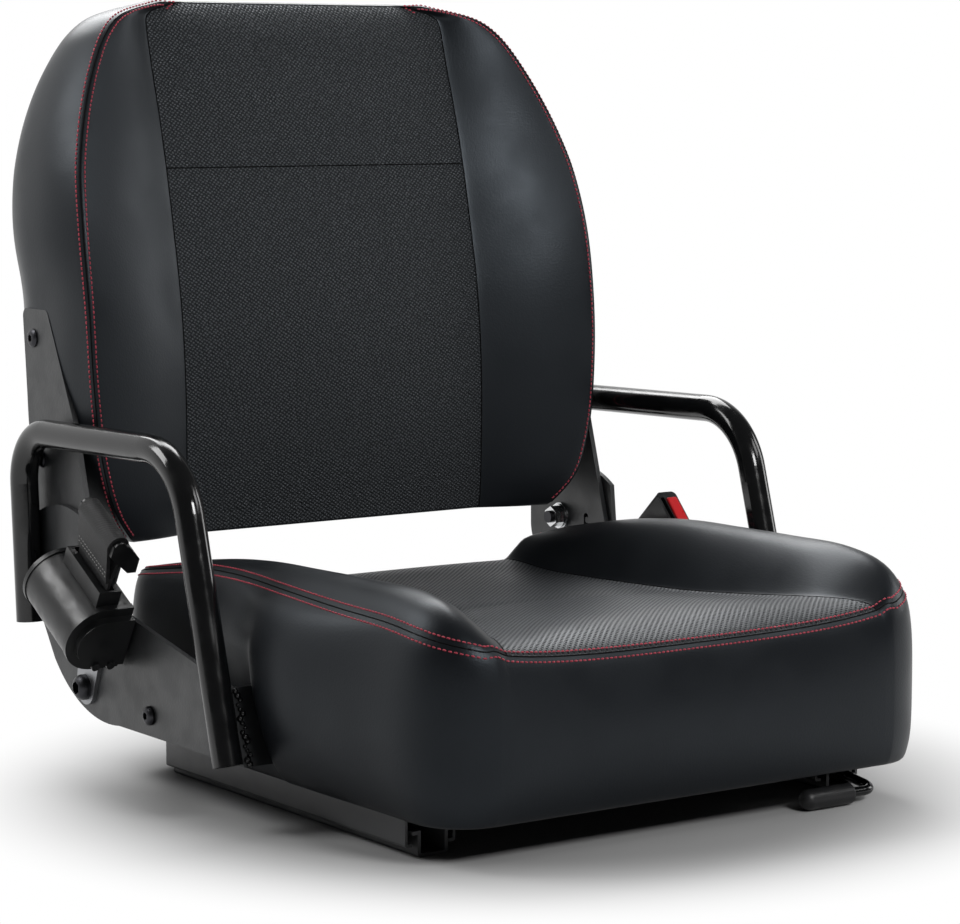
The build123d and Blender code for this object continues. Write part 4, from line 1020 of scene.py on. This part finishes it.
def seat():
    """Seat cushion: dished textured insert, raised bolsters, a sewn edge and a deep skirt."""
    grid = seat_grid()
    piece = grid.object("seat_upholstery")
    nx, ny = grid.nx, grid.ny
    bolster = len(BOLSTER_SHARES) - 1
    inserts = [grid.top[j, k] for j in range(ny + 1) for k in (bolster, nx - bolster)]
    edge = [grid.top[place] for place in grid.border]
    held = grid.rings[: len(UNDERSIDE) + SKIRT_FOOT_HELD]
    under = list(grid.bottom.values()) + [i for ring in held for i in ring]
    pinned = np.unique(np.array(inserts + edge + under))
    middle = {grid.top[j, i] for j in range(ny + 1) for i in range(bolster, nx - bolster + 1)}
    dress(piece, middle, SEAT_INSERT)
    place = coordinates(piece.data)
    caps = np.full(len(place), BOLSTER_SWELL)
    caps[list(middle)] = INSERT_SWELL
    skirt = np.concatenate([np.array(ring) for ring in grid.rings[1:-1]])
    share = ease((SQUEEZED_FROM - place[skirt, 1]) / SQUEEZED_REACH)
    caps[skirt] = SQUEEZED_SWELL + (BOLSTER_SWELL - SQUEEZED_SWELL) * share
    inflate(piece, pinned, PRESSURE, caps)
    relax(piece, under)
    sink(piece, np.unique(np.array(inserts + edge)), SEAM_DEPTH)
    left = [grid.top[j, 0] for j in range(ny, 0, -1)]
    front = [grid.top[0, i] for i in range(nx)]
    right = [grid.top[j, nx] for j in range(ny + 1)]
    rear = [grid.top[ny, i] for i in range(nx + 1)]
    chains = [np.array(left + front + right), np.array(rear)]
    chains += [np.array([grid.top[j, k] for j in range(ny + 1)]) for k in (bolster, nx - bolster)]
    sew(piece, "seat", "seat_cushion", chains, chains[:1])


# Small details


def weld_beads():
    """Beads of weld down the corner between each tube's foot and the flange beside it."""
    mesh = bmesh.new()
    for side in (-1, 1):
        for k in range(WELD_BEADS):
            place = WELD_FOOT.lerp(WELD_HEAD, k / (WELD_BEADS - 1))
            place.x = side * (WELD_X + WELD_X_VARIES * math.sin(2.1 * k))
            radius = (WELD_RADIUS + WELD_RADIUS_VARIES * math.sin(1.3 * k + 0.5)) * MM
            spot = Matrix.Translation(place * MM)
            bmesh.ops.create_icosphere(mesh, subdivisions=2, radius=radius, matrix=spot)
    beads = finished("weld_beads", mesh, MATERIALS["tube_paint"])
    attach(beads, "seat")


def belt_stitches():
    """Two rows of pale stitches across the belt, below its loop."""
    tree = surface_tree(frame["nodes"]["belt_webbing"])
    mesh = bmesh.new()
    for rise in BELT_STITCH_RISES:
        for across in BELT_STITCH_PLACES:
            start = SPOOL_CENTRE + BELT_UP * rise + BELT_ACROSS * across + BELT_OUTSIDE
            point, normal, _, _ = tree.ray_cast(start * MM, Vector((1, 0, 0)))
            if point is not None:
                size = BELT_STITCH_LENGTH, BELT_STITCH_RADIUS
                capsule(mesh, point, BELT_ACROSS, normal, *size)
    rows = finished("belt_stitching", mesh, PALE_THREAD)
    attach(rows, "seat")


# Stage


def aimed(place, target):
    """Turn of a lamp or camera at a place that looks at a target."""
    return (Vector(target) - Vector(place)).to_track_quat("-Z", "Y").to_euler()


def area_light(name, place, target, size, power):
    """Soft rectangular lamp aimed at a point."""
    data = bpy.data.lights.new(name, "AREA")
    data.shape = "RECTANGLE"
    data.size, data.size_y = size
    data.energy = power
    lamp = bpy.data.objects.new(name, data)
    lamp.location = place
    lamp.rotation_euler = aimed(place, target)
    bpy.context.scene.collection.objects.link(lamp)


def floor():
    """Pale floor that keeps the seat's shadow and fades to white away from it."""
    data = bpy.data.meshes.new("floor")
    corners = [(x * FLOOR_HALF, y * FLOOR_HALF, 0) for x, y in ((-1, -1), (1, -1), (1, 1), (-1, 1))]
    data.from_pydata(corners, [], [(0, 1, 2, 3)])
    piece = bpy.data.objects.new("floor", data)
    bpy.context.scene.collection.objects.link(piece)
    material = bpy.data.materials.new("floor")
    material.use_nodes = True
    nodes = Nodes(material.node_tree)
    nodes.tree.nodes.clear()
    diffuse = nodes.node("ShaderNodeBsdfDiffuse")
    diffuse.inputs["Color"].default_value = (FLOOR_GREY, FLOOR_GREY, FLOOR_GREY, 1)
    white = nodes.node("ShaderNodeEmission")
    white.inputs["Strength"].default_value = 1.0
    away = nodes.node("ShaderNodeVectorMath", operation="LENGTH")
    nodes.link(nodes.node("ShaderNodeTexCoord").outputs["Object"], away.inputs[0])
    fade = nodes.ramp(away.outputs["Value"], *FLOOR_FADE, 0.0, 1.0)
    rays = nodes.node("ShaderNodeLightPath").outputs
    mirrored = nodes.math("MAXIMUM", rays["Is Glossy Ray"], rays["Is Transmission Ray"])
    seen = nodes.math("MAXIMUM", rays["Is Camera Ray"], mirrored)
    mix = nodes.node("ShaderNodeMixShader")
    nodes.link(nodes.math("MULTIPLY", fade, seen), mix.inputs["Fac"])
    nodes.link(diffuse.outputs["BSDF"], mix.inputs[1])
    nodes.link(white.outputs["Emission"], mix.inputs[2])
    output = nodes.node("ShaderNodeOutputMaterial")
    nodes.link(mix.outputs["Shader"], output.inputs["Surface"])
    data.materials.append(material)


def world():
    """White sweep behind the seat and a dim room in front; the camera sees white all round."""
    made = bpy.data.worlds.new("studio")
    made.use_nodes = True
    nodes = Nodes(made.node_tree)
    background = nodes.tree.nodes["Background"]
    background.inputs["Color"].default_value = (1, 1, 1, 1)
    parts = nodes.node("ShaderNodeSeparateXYZ")
    nodes.link(nodes.node("ShaderNodeTexCoord").outputs["Generated"], parts.inputs[0])
    sweep = nodes.ramp(parts.outputs["Y"], *SWEEP_FROM_TO, ROOM_DIM, 1.0)
    rays = nodes.node("ShaderNodeLightPath").outputs
    weaker = nodes.ramp(rays["Is Glossy Ray"], 0.0, 1.0, ROOM_AS_LIGHT, 1.0, smooth_step=False)
    lit = nodes.math("MULTIPLY", sweep, weaker)
    clear = nodes.math("MAXIMUM", rays["Is Camera Ray"], rays["Is Transmission Ray"])
    nodes.link(nodes.math("MAXIMUM", lit, clear), background.inputs["Strength"])
    bpy.context.scene.world = made


def camera():
    """The photograph's camera."""
    data = bpy.data.cameras.new("camera")
    data.lens = CAMERA_LENS
    data.sensor_width = CAMERA_SENSOR
    eye = bpy.data.objects.new("camera", data)
    eye.location = CAMERA_PLACE
    eye.rotation_euler = aimed(CAMERA_PLACE, CAMERA_TARGET)
    bpy.context.scene.collection.objects.link(eye)
    bpy.context.scene.camera = eye


finish_nodes()
backrest()
seat()
weld_beads()
belt_stitches()
floor()
world()
camera()
for lamp in LAMPS:
    area_light(*lamp)
bpy.context.scene.view_settings.view_transform = "Standard"
